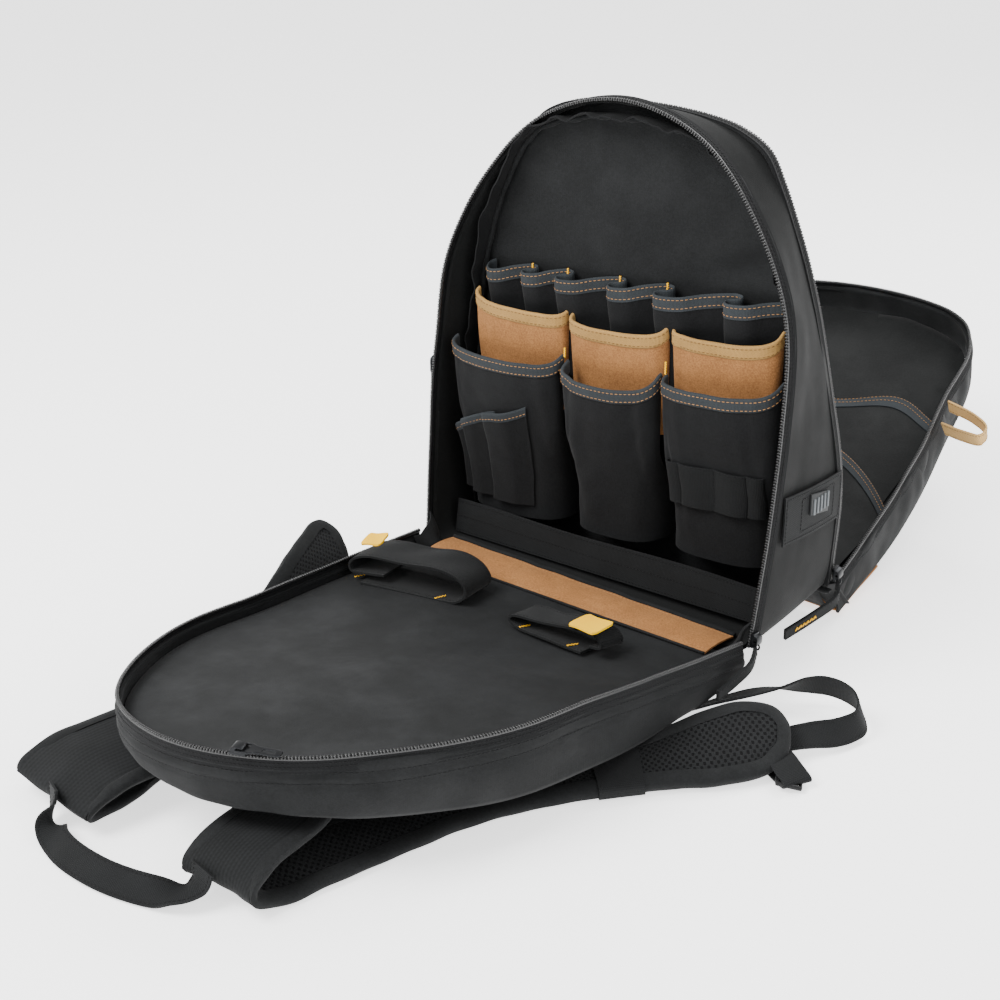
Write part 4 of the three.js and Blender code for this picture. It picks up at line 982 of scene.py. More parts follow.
dress(stitch_row("hinge_stitches", hem_rows, tan_thread, 0.0029, 0.0039, 0.0006), "tan_canvas")


def slack_folds(depth, length, seed):
    """Small uneven waves along the surface's own normal."""
    def folds(places, normals):
        waves = ripple(places, length, seed) + 0.4 * ripple(places, length * 0.4, seed + 1)
        return normals * (waves * depth)[:, None]
    return folds


WALL_CUTS = {"front": (0.32, 0.021), "rear": (0.34, 0.043)}
for side, cut in WALL_CUTS.items():
    node = f"{side}_hinge_wall"
    wall = soft_copy(node, f"{side}_hinge_cloth", black_cloth, 3, slack_folds(0.0006, 0.03, 61))
    dress(wall, "black_cloth", node)


# Hinge corners: where the two sections part, their side walls run on into a small soft
# gusset of the same cloth, which folds inwards when the bag is open.
# The top and the foot of the standing section's edge, then of the laid one's.
CORNERS = {
    "hinge": [(183.5, 6.0, 74.0), (170.0, 9.0, 40.5), (183.0, -20.0, 56.5), (168.0, -12.0, 30.0)],
    "rear": [(169.0, 149.5, 42.5), (165.0, 187.0, 7.5), (187.0, 156.0, 50.0), (184.0, 198.0, 8.5)],
}
for end, (top, foot, laid_top, laid_foot) in CORNERS.items():
    for side, name in ((1, "right"), (-1, "left")):
        u, v = np.meshgrid(np.linspace(0, 1, 41), np.linspace(0, 1, 33), indexing="ij")
        upright = np.array(top) * (1 - u[..., None]) + np.array(foot) * u[..., None]
        laid = np.array(laid_top) * (1 - u[..., None]) + np.array(laid_foot) * u[..., None]
        places = upright * (1 - v[..., None]) + laid * v[..., None]
        if end == "hinge":
            fold = np.sin(np.pi * v) * (0.6 + 0.4 * np.sin(np.pi * u))
            places[..., 0] -= 9.0 * fold + 1.6 * np.sin(9 * v + 4 * u)
            places[..., 2] -= 7.0 * fold * (1 - u)
        else:
            places[..., 1] += 1.2 * np.sin(np.pi * v) * np.sin(6 * u)
        places[..., 0] *= side
        corner = cloth_grid(f"{name}_{end}_gusset", at(places), 0.0016, black_cloth)
        dress(corner, "black_cloth")
# The rear hinge's seam allowance: a soft roll of cloth along the fold.
fold_points = [
    (-183, 151.5, 44.5), (-174, 150, 43), (-90, 149.6, 42.6),
    (90, 149.6, 42.6), (174, 150, 43), (183, 151.5, 44.5)]
fold_line = smooth_line(at(fold_points), 200)
fold_line += ripple(fold_line, 0.05, 62)[:, None] * np.array([0, 0.0006, 0.0005])
dress(sweep_round("rear_hinge_seam", fold_line, 0.0036 + 0 * fold_line[:, 0], black_cloth), "black_cloth")


# Harness tray: the wearer's side of the bag, folded out flat. Its side wall is plain cloth
# with two seams under the zip, and a smooth coated lining is sewn in a little below the rim.
panel_cloth = woven_finish("panel_polyester", linear(15, 16, 16), linear(31, 32, 33),
                           thread=0.0008, depth=0.00014,
                           roughness=0.72, sheen=0.03, wear_and_crease_shade=0.65)


def tray_height(x, s, down):
    return 59.7 + 0.104 * s + 0.0955 * x * np.clip(s / 200, 0, 1) - down


def tray_folds(places, normals):
    """The tray's wall hangs in long soft creases between its rim and its floor, with its two seams pressed
    in.
    """
    x = (places[:, 0] - hinge_middle[0]) * 1000
    s = -(places[:, 1] - hinge_middle[1]) * 1000
    depth = (tray_height(x + 0.1 * s, s, 0) - places[:, 2] * 1000) / 60
    free = np.sin(np.pi * np.clip(depth, 0, 1)) ** 0.7
    waves = ripple(places * [1, 1, 0.5], 0.12, 71) * 0.0021 + ripple(places * [1, 1, 0.7], 0.045, 72) * 0.0007
    seam = -0.0009 * (bell(depth, 0.27, 0.03) + bell(depth, 0.42, 0.03))
    return normals * (free * waves + seam)[:, None]


tray_wall = soft_copy("tray_gusset", "tray_wall", black_cloth, 3, tray_folds)
dress(tray_wall, "black_cloth", "tray_gusset")


def lining_folds(places, normals):
    x = (places[:, 0] - hinge_middle[0]) * 1000
    s = -(places[:, 1] - hinge_middle[1]) * 1000
    broad = ripple(places, 0.3, 73) * 0.0016 + ripple(places, 0.11, 74) * 0.0004
    crease = 0.0016 * bell(s - 0.55 * (x + 150), 300, 16) * smooth((-x - 20) / 80) * smooth((x + 175) / 30)
    crease += 0.0011 * bell(s + 0.4 * (x - 60), 175, 14) * smooth((x - 30) / 60)
    return np.stack([0 * x, 0 * x, broad + crease], axis=1)


lining = soft_copy("tray_lining", "tray_lining_cloth", panel_cloth, 3, lining_folds)
dress(lining, "panel_cloth", "tray_lining")


def surface_line(piece, starts, ways):
    """Where rays meet a piece: the places met and the surface's normals there."""
    depsgraph = bpy.context.evaluated_depsgraph_get()
    tree = BVHTree.FromObject(piece, depsgraph)
    met, faces_to = [], []
    for start, way in zip(starts, ways):
        place, normal, _, _ = tree.ray_cast(Vector(start), Vector(way))
        if place is not None:
            met.append(list(place))
            faces_to.append(list(normal if normal.dot(Vector(way)) < 0 else -normal))
    return np.array(met), np.array(faces_to)


def wall_seams(name, piece, rim, drops, finish):
    """Stitched seams on the outside of a wall, a set way below its rim."""
    edge, side, out = rim
    rows = []
    for drop in drops:
        starts = edge[4:-4] - out * drop + side[4:-4] * 0.05
        line, normals = surface_line(piece, starts, -side[4:-4])
        rows.append((line + normals * 0.0002, normals))
    return stitch_row(name, rows, finish, 0.003, 0.0038, 0.0005)


dress(wall_seams("tray_seams", tray_wall, tray_rim, (0.0135, 0.0225), dark_thread), "black_cloth")


# Wearer's side under the tray: a padded back panel and a lumbar pad, both covered in
# open knitted air mesh.
def mesh_finish(name, by_place):
    material, shader, place = start_finish(name, 0.92, sheen=0.02)
    cloth = place if by_place else place.node("ShaderNodeUVMap", {"uv_map": "cloth"})
    along, across = cloth.axis(0), cloth.axis(1)
    holes_and_painted_shade = (along.wave(0.0058) * across.wave(0.0064)).between(0.05, 0.45)
    fuzz = place.noise(1500, 3.0, 0.6)
    knit = (fuzz * 0.9 + place.noise(30, 2.0) * 0.4).between(0.3, 0.9)
    knit = knit.blend(linear(15, 16, 16), linear(30, 31, 32))
    # The knit's openings are coloured near black: painted shade inside the holes of the mesh.
    holes_and_painted_shade.blend(knit, linear(4, 4, 5)).feeds(shader, "Base Color")
    relief((1 - holes_and_painted_shade) * 0.85 + fuzz * 0.15, shader, 0.0014)
    return material


flat_mesh = mesh_finish("air_mesh_flat", True)
strap_mesh = mesh_finish("air_mesh_strap", False)
tray_back = soft_copy("tray_back", "back_panel", flat_mesh, 2, slack_folds(0.0008, 0.06, 81))
dress(tray_back, "mesh_cloth", "tray_back")
lumbar = soft_copy("lumbar_pad", "lumbar_cushion", flat_mesh, 3, slack_folds(0.0008, 0.05, 83), crease=80)
dress(lumbar, "mesh_cloth", "lumbar_pad")


# Tool straps: two broad hook-and-loop straps sewn to the tray's lining with yellow bar
# tacks and closed over themselves. Each ends in a bright yellow pull tab.
yellow_web = ribbed_finish(
    "yellow_webbing_weave", linear(250, 182, 0), linear(255, 206, 6), rib=0.0012, depth=0.00025)


def pile_finish():
    """Loop pile of a hook-and-loop strap: matt, fuzzy, with faint ribs."""
    material, shader, place = start_finish("loop_pile", 0.95, sheen=0.06)
    cloth = place.node("ShaderNodeUVMap", {"uv_map": "cloth"})
    curls = place.noise(1700, 4.0, 0.75)
    ribs = 0.5 + 0.5 * cloth.axis(0).wave(0.0017)
    tone = curls * 0.75 + ribs * 0.25
    tone.between(0.25, 0.8).blend(linear(9, 10, 10), linear(23, 24, 25)).feeds(shader, "Base Color")
    relief(tone, shader, 0.0005, 0.9)
    return material


pile = pile_finish()


class ToolStrap:
    """A strap in its own plane: along it, above the lining and across it, in millimetres."""

    def __init__(self, x, s, width, turn, rows):
        self.x, self.s, self.width = x, s, width
        self.turn = math.radians(turn)
        self.path = smooth_line([(a, 0, h) for a, h in rows], 150)

    def put(self, along, height, across):
        x = self.x + math.cos(self.turn) * along - math.sin(self.turn) * across
        y = -self.s + math.sin(self.turn) * along + math.cos(self.turn) * across
        lining_z = tray_height(x - 0.1 * y, -y, 19) + 3.4
        return at(np.stack([x, y, lining_z + height], axis=-1))

    def grid(self, columns):
        u = np.linspace(0, 1, len(self.path))[:, None]
        v = np.linspace(0, 1, columns)[None]
        wide = (v - 0.5) * self.width * (1 + 0.06 * np.sin(u * 7)) + 5 * u
        height = self.path[:, 2:] + 1.2 * np.sin(u * 9 + v * 2) * smooth(u * 3)
        height = height + 0.8 * np.sin(u * 31 + v * 5) * v * smooth(u * 2)
        return self.put(self.path[:, :1] + 0 * v, height, wide)


def tool_strap(name, nodes, strap, tab, tacks):
    places = strap.grid(13)
    made = cloth_grid(f"{name}_pile", places, 0.0021, pile)
    dress(made, "black_webbing", nodes[0])
    hems = []
    for column in (1, 11):
        line = places[:, column]
        along, over = np.gradient(places[:, column], axis=0), np.gradient(places, axis=1)[:, column]
        normals = unit(np.cross(along, over))
        for side in (1, -1):
            hems.append((line + normals * side * 0.0012, normals * side))
    dress(stitch_row(f"{name}_hems", hems, dark_thread, 0.0026, 0.0036, 0.0006), "black_webbing")
    a0, a1, h0, h1, w0, w1, skew = tab
    u, v = np.meshgrid(np.linspace(0, 1, 25), np.linspace(0, 1, 17), indexing="ij")
    rounded = 1 - 0.14 * np.abs(2 * v - 1) ** 6
    along = (a0 + a1) / 2 + (a1 - a0) * (u - 0.5) * rounded + skew * v
    height = h0 + (h1 - h0) * u + 0.5 * np.sin(u * 5 + v * 3)
    across = w0 + (w1 - w0) * v + skew * 0.3 * u
    yellow = cloth_grid(f"{name}_tab", strap.put(along, height, across), 0.0018, yellow_web)
    dress(yellow, "yellow_webbing", nodes[1])
    bar_tacks(f"{name}_tacks", tacks, "yellow_webbing", 0.0023, 0.0014, 0.0009)


left_strap = ToolStrap(-128, 84, 44, 8, [
    (-44, 0.75), (0, 0.75), (44, 0.75), (62, 4), (71, 15), (62, 28), (38, 33), (0, 29), (-38, 27), (-57, 19),
    (-58, 8.5), (-46, 8), (-20, 11)])
right_strap = ToolStrap(50, 90, 30, -4, [
    (34, 0.3), (0, 0.3), (-32, 0.3), (-45, 3), (-50, 8), (-42, 13), (-10, 15), (20, 18), (40, 20), (50, 15),
    (51, 8), (40, 6.5)])


def tack_on(strap, start, end, height):
    return (strap.put(*start[:1], height, start[1]), strap.put(*end[:1], height, end[1]), [0, -0.3, 1])


left_tacks = [tack_on(left_strap, (-55, -16), (-47, -5), 2.6), tack_on(left_strap, (38, -21), (44, -10), 2.6)]
right_tacks = [
    tack_on(right_strap, (-38, -13), (-34, -2), 2.2),
    tack_on(right_strap, (18, -14), (22, -3), 2.2)]
tool_strap("left_tool_strap", ("left_tool_strap", "left_strap_tab"), left_strap,
           (-64, -40, 25, 30, 8, 34, -6), left_tacks)
tool_strap("right_tool_strap", ("right_tool_strap", "right_strap_tab"), right_strap,
           (20, 50, 24, 24.5, -16, 16, -3),
           right_tacks)


# Front section: the bag's front, folded right back. Its wall sags between rim and floor,
# and two flat pockets with slanting taped mouths are sewn to the inside of its panel.
LID_OUT = -LID_UP
lid_root = at([0, 158, 43.7])
lid_inner = woven_finish("lid_polyester", linear(14, 15, 15), linear(27, 28, 28), thread=0.0009)


def lid_at(x, s, down):
    """A place in the front section: across, along it from the hinge and below its rim, in mm."""
    x, s, down = np.broadcast_arrays(x, s, down)
    side = np.array([1.0, 0, 0])
    return lid_root + (x[..., None] * side + s[..., None] * LID_FAR + down[..., None] * LID_OUT) / 1000


def lid_deep(s):
    return 43 + 14 * smooth(s / 150) - 17 * smooth((s - 300) / 160)


def lid_floor(x, s):
    return lid_deep(s) - 4 - 3 * bell(x, 20, 100) * bell(s, 260, 120)


def lid_wall_folds(places, normals):
    s = (places - lid_root) @ LID_FAR * 1000
    depth = (places - lid_root) @ LID_OUT * 1000 / lid_deep(s)
    free = np.sin(np.pi * np.clip(depth, 0, 1)) ** 0.7
    waves = ripple(places, 0.07, 91) * 0.0026 + ripple(places, 0.03, 92) * 0.0009
    return normals * (free * waves)[:, None]


lid_wall = soft_copy("lid_gusset", "lid_wall", black_cloth, 3, lid_wall_folds)
dress(lid_wall, "black_cloth", "lid_gusset")
lid_panel = soft_copy("lid_panel", "lid_cloth", lid_inner, 3, slack_folds(0.0016, 0.09, 93))
dress(lid_panel, "black_cloth", "lid_panel")
dress(wall_seams("lid_seams", lid_wall, lid_rim, (0.0135,), dark_thread), "black_cloth")


def upper_mouth(x):
    return 298 + 36 * bell(x, 85, 52)


def lower_mouth(x):
    return 236 - 80 * (np.maximum(0, x - 20) / 140) ** 2


def lid_pocket(name, mouth, left, right, foot, lift):
    def places(u, v, out=0.0):
        x = left + (right - left) * u
        top = mouth(x)
        s = np.where(v <= 1, foot + (top - 9 - foot) * v, top - 9 + (v - 1) * 9)
        slack = 1.6 * np.sin(np.pi * u) + 1.0 * np.sin(u * 11 + s * 0.03) * np.sin(np.pi * u)
        slack = slack + 1.2 * bell(s - 0.4 * x, foot + 90, 22) * np.sin(np.pi * u)
        return lid_at(x, s, lid_floor(x, s) - lift - slack * np.clip(v, 0, 1) - out)

    u, v = np.meshgrid(np.linspace(0, 1, 97), np.linspace(0, 0.96, 41), indexing="ij")
    front = cloth_grid(f"{name}_cloth", places(u, v), 0.0014, lid_inner)
    dress(front, "black_cloth", name)
    u, v = np.meshgrid(np.linspace(0, 1, 97), np.linspace(0.62, 2, 13), indexing="ij")
    v = np.where(v < 1, 1 - (1 - v) * 0.1, v)
    tape_edge = np.sqrt(np.clip(1 - np.clip((v - 1.75) / 0.26, 0, 1) ** 2, 0.05, 1))
    tape = cloth_grid(f"{name}_tape", places(u, v, 0.4), 0.0027 * tape_edge, grey_tape)
    dress(tape, "grey_binding", f"{name}_binding")
    u = np.linspace(0.01, 0.99, 260)
    rows = [(places(u, np.full(260, v), 1.9), np.broadcast_to(LID_UP, (260, 3))) for v in (1.12, 1.8)]
    dress(stitch_row(f"{name}_stitches", rows, tan_thread, 0.003, 0.0041, 0.00065), "grey_binding")


lid_pocket("lid_upper_pocket", upper_mouth, -144, 146, 100, 4.25)
lid_pocket("lid_lower_pocket", lower_mouth, -152, 156, 24, 8.3)
outer = soft_copy("lid_outer_pocket", "front_pouch", black_cloth, 3, slack_folds(0.0014, 0.06, 95), crease=70)
dress(outer, "black_cloth", "lid_outer_pocket")
foot_panel = soft_copy("tan_foot_panel", "tan_base_panel", tan_canvas, 3, slack_folds(0.0006, 0.07, 97))
dress(foot_panel, "tan_canvas", "tan_foot_panel")


# Webbing loops: tapes follow their own run through the air, twist where they turn and are
# sewn down by both ends.
def web_grid(points, count, width, across, columns=9, given=False):
    """The places of a tape: a smooth line of points with its width laid along across."""
    line = smooth_line(points if given else at(points), count)
    way = tangents(line)
    across = np.broadcast_to(np.asarray(across, dtype=float), line.shape)
    side = unit(across - (across * way).sum(axis=1)[:, None] * way)
    share = np.linspace(-0.5, 0.5, columns)[None, :, None]
    return line[:, None] + side[:, None] * share * np.broadcast_to(width, len(line))[:, None, None]


def hem_stitches(name, places, columns, lift, finish, slot, both=True):
    """Stitches along some columns of a tape's places, on both its faces."""
    along = np.gradient(places, axis=0)
    across = np.gradient(places, axis=1)
    normal = unit(np.cross(along, across))
    rows = []
    for column in columns:
        for side in (1, -1) if both else (1,):
            rows.append((places[:, column] + normal[:, column] * lift * side, normal[:, column] * side))
    return dress(stitch_row(name, rows, finish, 0.0027, 0.0037, 0.0006), slot)


tan_web = ribbed_finish("tan_webbing_weave", linear(160, 124, 74), linear(204, 168, 110),
                        rib=0.0013, depth=0.0003,
                        sheen=0.05)
far_loop = [
    (166, 433, 134), (195, 427, 130), (216, 415, 125),
    (215, 402, 119), (193, 410, 115), (168, 421, 113)]
far_places = web_grid(far_loop, 90, 0.0165, [0.1, -0.5, 0.85])
far_web = cloth_grid("tan_loop", far_places, 0.0018, tan_web)
dress(far_web, "tan_webbing", "tan_web_loop")
hem_stitches("tan_loop_stitches", far_places, (1, 7), 0.001, tan_binding_thread, "tan_webbing")


# Side of the standing section: a square webbing patch with a ribbed rubber badge, and on
# the far side an open cloth pocket with a taped mouth.
def half_at(rim, z):
    """The half width of a rim at a height, in millimetres."""
    line = rim[0]
    right = line[line[:, 0] > hinge_middle[0]]
    right = right[np.argsort(right[:, 2])]
    return (np.interp(z / 1000, right[:, 2], right[:, 0]) - hinge_middle[0]) * 1000


def side_x(y, z):
    front = (z - 42.5) * FRONT_SLOPE
    rear = 158 - (z - 43.7) * REAR_SLOPE
    share = np.clip((y - front) / (rear - front), 0, 1)
    half = half_at(front_rim, z) * (1 - share) + half_at(rear_rim, z) * share
    return half + 3.2 * np.sin(np.pi * share) + 1.5


def patch_places(y0, y1, z0, z1, slope, out, count=33):
    u, v = np.meshgrid(np.linspace(0, 1, count), np.linspace(0, 1, count // 2 + 1), indexing="ij")
    y = y0 + (y1 - y0) * u
    z = z0 + (z1 - z0) * v - slope * u
    return at(np.stack([side_x(y, z) + out, y, z], axis=-1))


patch = patch_places(34, 136, 138, 184, 10, 1.5, 61)
side_patch = cloth_grid("side_patch_webbing", patch, 0.0015, webbing)
dress(side_patch, "black_webbing", "side_patch")
frame_rows = []
for y0, y1, z0, z1 in ((34, 136, 138, 184), (58, 122, 143, 179)):
    inset = 2.5
    loop = []
    for u, v in ((0, 0), (1, 0), (1, 1), (0, 1), (0, 0)):
        loop.append((y0 + inset + (y1 - y0 - 2 * inset) * u, z0 + inset + (z1 - z0 - 2 * inset) * v))
    loop = np.array([np.add(a, np.multiply(np.subtract(b, a), t)) for a, b in zip(loop[:-1], loop[1:])
                     for t in np.linspace(0, 1, 24, endpoint=False)])
    slope = 10 * (loop[:, 0] - 34) / 102
    height = loop[:, 1] - slope
    line = at(np.stack([side_x(loop[:, 0], height) + 2.5, loop[:, 0], height], axis=1))
    frame_rows.append((line, np.broadcast_to([1.0, 0, 0], line.shape)))
dress(stitch_row("side_patch_stitches", frame_rows, dark_thread, 0.0028, 0.0036, 0.0008), "black_webbing")


def crisp_copy(node, name, finish, width, body="root"):
    """A hard CAD solid with softly rounded edges."""
    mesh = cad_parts[node].data.copy()
    shape = bmesh.new()
    shape.from_mesh(mesh)
    bmesh.ops.remove_doubles(shape, verts=shape.verts, dist=1e-6)
    bmesh.ops.dissolve_limit(shape, angle_limit=math.radians(3), verts=shape.verts, edges=shape.edges)
    shape.to_mesh(mesh)
    shape.free()
    piece = link(name, mesh, finish)
    bpy.ops.object.select_all(action="DESELECT")
    piece.select_set(True)
    bpy.context.view_layer.objects.active = piece
    rounding = piece.modifiers.new("rounding", "BEVEL")
    rounding.width = width
    rounding.segments = 3
    rounding.limit_method = "ANGLE"
    rounding.angle_limit = math.radians(35)
    bpy.ops.object.modifier_apply(modifier="rounding")
    bpy.ops.object.shade_smooth_by_angle(angle=math.radians(40))
    return piece


def moulded_finish(name, dark, pale, roughness, metallic=0.0):
    """Moulded or cast surface with handling wear: fine grain and soft smudges."""
    material, shader, place = start_finish(name, roughness, metallic, gloss=0.5 if metallic else 0.25)
    smudges = place.noise(160, 4.0, 0.6)
    grain = place.noise(2600, 2.0)
    smudges.blend(dark, pale).feeds(shader, "Base Color")
    (roughness - 0.1 + 0.22 * smudges).feeds(shader, "Roughness")
    relief(grain, shader, 0.00004, 0.6)
    return material


badge_rubber = moulded_finish("badge_rubber", linear(70, 74, 76), linear(98, 102, 105), 0.6)
dark_metal = moulded_finish("dark_metal", linear(20, 21, 22), linear(42, 43, 45), 0.38, metallic=0.9)
# The badge's base plate and its ribs are one rubber, coloured dark and pale: painted shade in the gaps
# between the ribs.
badge_base_painted_shade = moulded_finish("badge_base_painted_shade", linear(24, 25, 26), linear(38, 40, 41), 0.6)


def badge_block(name, y0, y1, z0, z1, out, depth, finish):
    """A rounded rubber block on the side wall, following its slope."""
    bpy.ops.object.select_all(action="DESELECT")
    bpy.ops.mesh.primitive_cube_add(size=1)
    block = bpy.context.object
    block.name = name
    block.data.transform(Matrix.Diagonal((depth / 1000, (y1 - y0) / 1000, (z1 - z0) / 1000, 1)))
    rounding = block.modifiers.new("rounding", "BEVEL")
    rounding.width = 0.0005
    rounding.segments = 3
    bpy.ops.object.modifier_apply(modifier="rounding")
    y, z = (y0 + y1) / 2, (z0 + z1) / 2
    place = at([side_x(y, z) + out, y, z])
    ahead = at([side_x(y + 4, z) + out, y + 4, z - 0.9]) - place
    above = at([side_x(y, z + 4) + out, y, z + 4]) - place
    turn = Matrix((unit(np.cross(ahead, above)), unit(ahead), unit(above))).transposed().to_4x4()
    turn.translation = Vector(place)
    block.data.transform(turn)
    block.data.materials.append(finish)
    bpy.ops.object.shade_smooth_by_angle(angle=math.radians(40))
    return block


badge = badge_block("badge", 72, 106, 151, 171, 3.2, 2.0, badge_base_painted_shade)
dress(badge, "patch_rubber", "ribbed_badge")
RIB_PITCH, RIB_WIDTH, RIB_FALL = 6.2, 3.0, 0.2
for number in range(5):
    y = 76.5 + RIB_PITCH * number
    low, high = 153.5 - RIB_FALL * number, 168.5 - RIB_FALL * number
    rib = badge_block(f"badge_rib_{number + 1}", y, y + RIB_WIDTH, low, high, 4.6, 1.6, badge_rubber)
    dress(rib, "patch_rubber")


def side_pocket_places(u, z, out):
    y = 26 + 106 * u
    full = np.sin(np.pi * u) ** 0.6
    slack = 1.4 * np.sin(u * 13 + z * 0.05) * full * (1 - smooth((z - 180) / 40))
    return at(np.stack([-side_x(y, z) - 2.2 - (out + slack) * full, y, z + 0 * u], axis=-1))


u, v = np.meshgrid(np.linspace(0, 1, 65), np.linspace(0, 1, 41), indexing="ij")
side_places = side_pocket_places(u, 98 + 121 * v, 6 + 6 * np.clip(v * 1.05, 0, 1))
side_cloth = cloth_grid("side_pocket_cloth", side_places,
                        0.0016, black_cloth)
dress(side_cloth, "black_cloth", "side_pocket")
u, v = np.meshgrid(np.linspace(0, 1, 65), np.linspace(0, 1, 13), indexing="ij")
tape_edge = np.sqrt(np.clip(1 - np.clip((v - 0.84) / 0.17, 0, 1) ** 2, 0.03, 1))
tape_places = side_pocket_places(u, 212.4 + 13.6 * v, 12.0)
side_tape = cloth_grid("side_pocket_tape", tape_places, 0.0032 * tape_edge, grey_tape)
dress(side_tape, "grey_binding", "side_pocket_binding")
side_rows = []
for z in (214.6, 223.2):
    line = side_pocket_places(np.linspace(0.01, 0.99, 120), np.full(120, z), 13.9)
    side_rows.append((line, unit(np.cross([0, 0, 1.0], tangents(line)))))
dress(stitch_row("side_pocket_stitches", side_rows, tan_thread, 0.0029, 0.004, 0.0006), "grey_binding")


# Zip sliders: cast metal bodies on the chains. The tray's carries a bare slotted tab that
# swings on its pin, and the two at the hinges have webbing pulls on a wire ring.
for node, name in (("tray_slider", "tray_slider_body"), ("front_slider", "front_slider_body"),
                   ("rear_slider", "rear_slider_body")):
    dress(crisp_copy(node, name, dark_metal, 0.0004), "dark_metal", node)
pull_plate = crisp_copy("tray_pull_tab", "pull_tab_plate", dark_metal, 0.0003, "pull_tab")
dress(pull_plate, "dark_metal", "tray_pull_tab",
      body="pull_tab")


def wire_ring(name, place, across, wide):
    """A ring of round wire, modelled flat and turned so that its axis lies across."""
    bpy.ops.object.select_all(action="DESELECT")
    bpy.ops.mesh.primitive_torus_add(
        major_radius=wide / 2000, minor_radius=0.0009, major_segments=36, minor_segments=12)
    ring = bpy.context.object
    ring.name = name
    turn = Vector(across).to_track_quat("Z", "Y").to_matrix().to_4x4()
    turn.translation = Vector(at(place))
    ring.data.transform(turn)
    ring.data.materials.append(dark_metal)
    bpy.ops.object.shade_smooth()
    return dress(ring, "dark_metal")


def web_pull(name, node, points, width):
    places = web_grid(points, 60, width, [0.1, -0.3, 1], 9)
    made = cloth_grid(f"{name}_webbing", places, 0.0028, webbing)
    dress(made, "black_webbing", node)
    hem_stitches(f"{name}_stitches", places, (1, 7), 0.0016, dark_thread, "black_webbing")
    return places


front_run = [(191.5, 2, 50.9), (196, -14, 44), (196, -38, 41), (194, -64, 38)]
web_pull("front_pull", "front_pull", front_run, 0.011)
rear_run = [(190.5, 153, 50.7), (198, 138, 43), (190, 108, 35), (180, 76, 28)]
rear_pull = web_pull("rear_pull", "rear_pull", rear_run, 0.0125)
wire_ring("front_pull_ring", (190.6, 3.2, 54.2), (0.1, 1, 0.1), 7.5)
wire_ring("rear_pull_ring", (189.8, 154.2, 54.4), (0.1, 1, 0.1), 7.5)
pull_normal = unit(np.cross(rear_pull[30, 4] - rear_pull[29, 4], rear_pull[30, 8] - rear_pull[30, 0]))
if pull_normal[0] < 0:
    pull_normal = -pull_normal
tack_start = rear_pull[33, 4] + pull_normal * 0.0018
tack_end = rear_pull[52, 4] + pull_normal * 0.0018
bar_tacks("rear_pull_tack", [(tack_start, tack_end, pull_normal)], "yellow_webbing", 0.0042, 0.0021, 0.0011)


# Shoulder straps: long padded straps with air mesh on the wearer's face, ribbed nylon on the
# outer one and a rolled binding round their edges.
# They run from the pad at their tip under the tray and fold back over themselves at its
# far end, where the carrying loop is sewn in.
NEAR = 60                        # grid places that show which way is inward
# How the binding tape turns about the pad's edge: inset, lift, and side of the pad.
TAPE_PROFILE = [
    (0.0095, 0.0004, 1), (0.0070, 0.0012, 1), (0.0040, 0.0014, 1), (0.0010, 0.0012, 1),
    (-0.0016, 0.0004, 0.8), (-0.0024, 0.0, 0), (-0.0016, -0.0004, -0.8),
    (0.0010, -0.0008, -1), (0.0045, -0.0008, -1), (0.0090, -0.0002, -1)]


def padded_strap(name, node, rows, count, first, second, columns=25):
    """A padded strap between two edges, with a finish for each face and a bound edge."""
    inner = smooth_line(at([r[0] for r in rows]), count)
    outer = smooth_line(at([r[1] for r in rows]), count)
    thick = np.interp(np.linspace(0, len(rows) - 1, count + 1), range(len(rows)), [r[2] for r in rows])
    share = np.linspace(0, 1, columns)[None, :, None]
    places = inner[:, None] * (1 - share) + outer[:, None] * share
    across = np.sin(np.pi * np.clip(share[..., 0], 0.03, 0.97)) ** 0.5
    body = 0.42 + 0.58 * across
    normal = unit(np.cross(np.gradient(places, axis=0), np.gradient(places, axis=1)))
    wave = ripple(places, 0.06, count) * 0.0011 + ripple(places, 0.022, count + 1) * 0.0004
    places = places + normal * (wave * across)[..., None]
    made = cloth_grid(f"{name}_pad", places, thick[:, None] / 1000 * body, first, back=second)
    dress(made, "mesh_cloth", node)
    tip = np.linspace(0, columns - 1, 13).astype(int)
    border = np.vstack([places[::-1, 0][:-1], places[0, tip], places[1:, -1]])
    border = smooth_line(border[::3], 3 * count)
    levels = (thick[:, None] / 2000 * body).ravel()
    normals = normal.reshape(-1, 3)
    spots = places.reshape(-1, 3)
    inward = []
    for spot in border:
        order = np.argsort(((spots - spot) ** 2).sum(axis=1))
        inward.append(spots[order[:NEAR]].mean(axis=0) - spot)
    inward = np.array(inward)
    along = tangents(border)
    inward = unit(inward - along * (inward * along).sum(axis=1)[:, None])
    rolled = []
    for inset, lift, side in TAPE_PROFILE:
        spot = border + inward * inset
        nearest = np.array([((spots - one) ** 2).sum(axis=1).argmin() for one in spot])
        height = levels[nearest] * side + lift
        rolled.append(spot + normals[nearest] * height[:, None])
    rolled = np.stack(rolled, axis=1)
    for _ in range(6):
        rolled[1:-1] = (rolled[:-2] + 2 * rolled[1:-1] + rolled[2:]) / 4
    rolled += inward[:, None] * (ripple(border, 0.03, 7) * 0.0006)[:, None, None]
    rim = cloth_grid(f"{name}_binding", rolled, 0.0011, webbing_plain)
    dress(rim, "black_webbing")
    return places, normal, thick


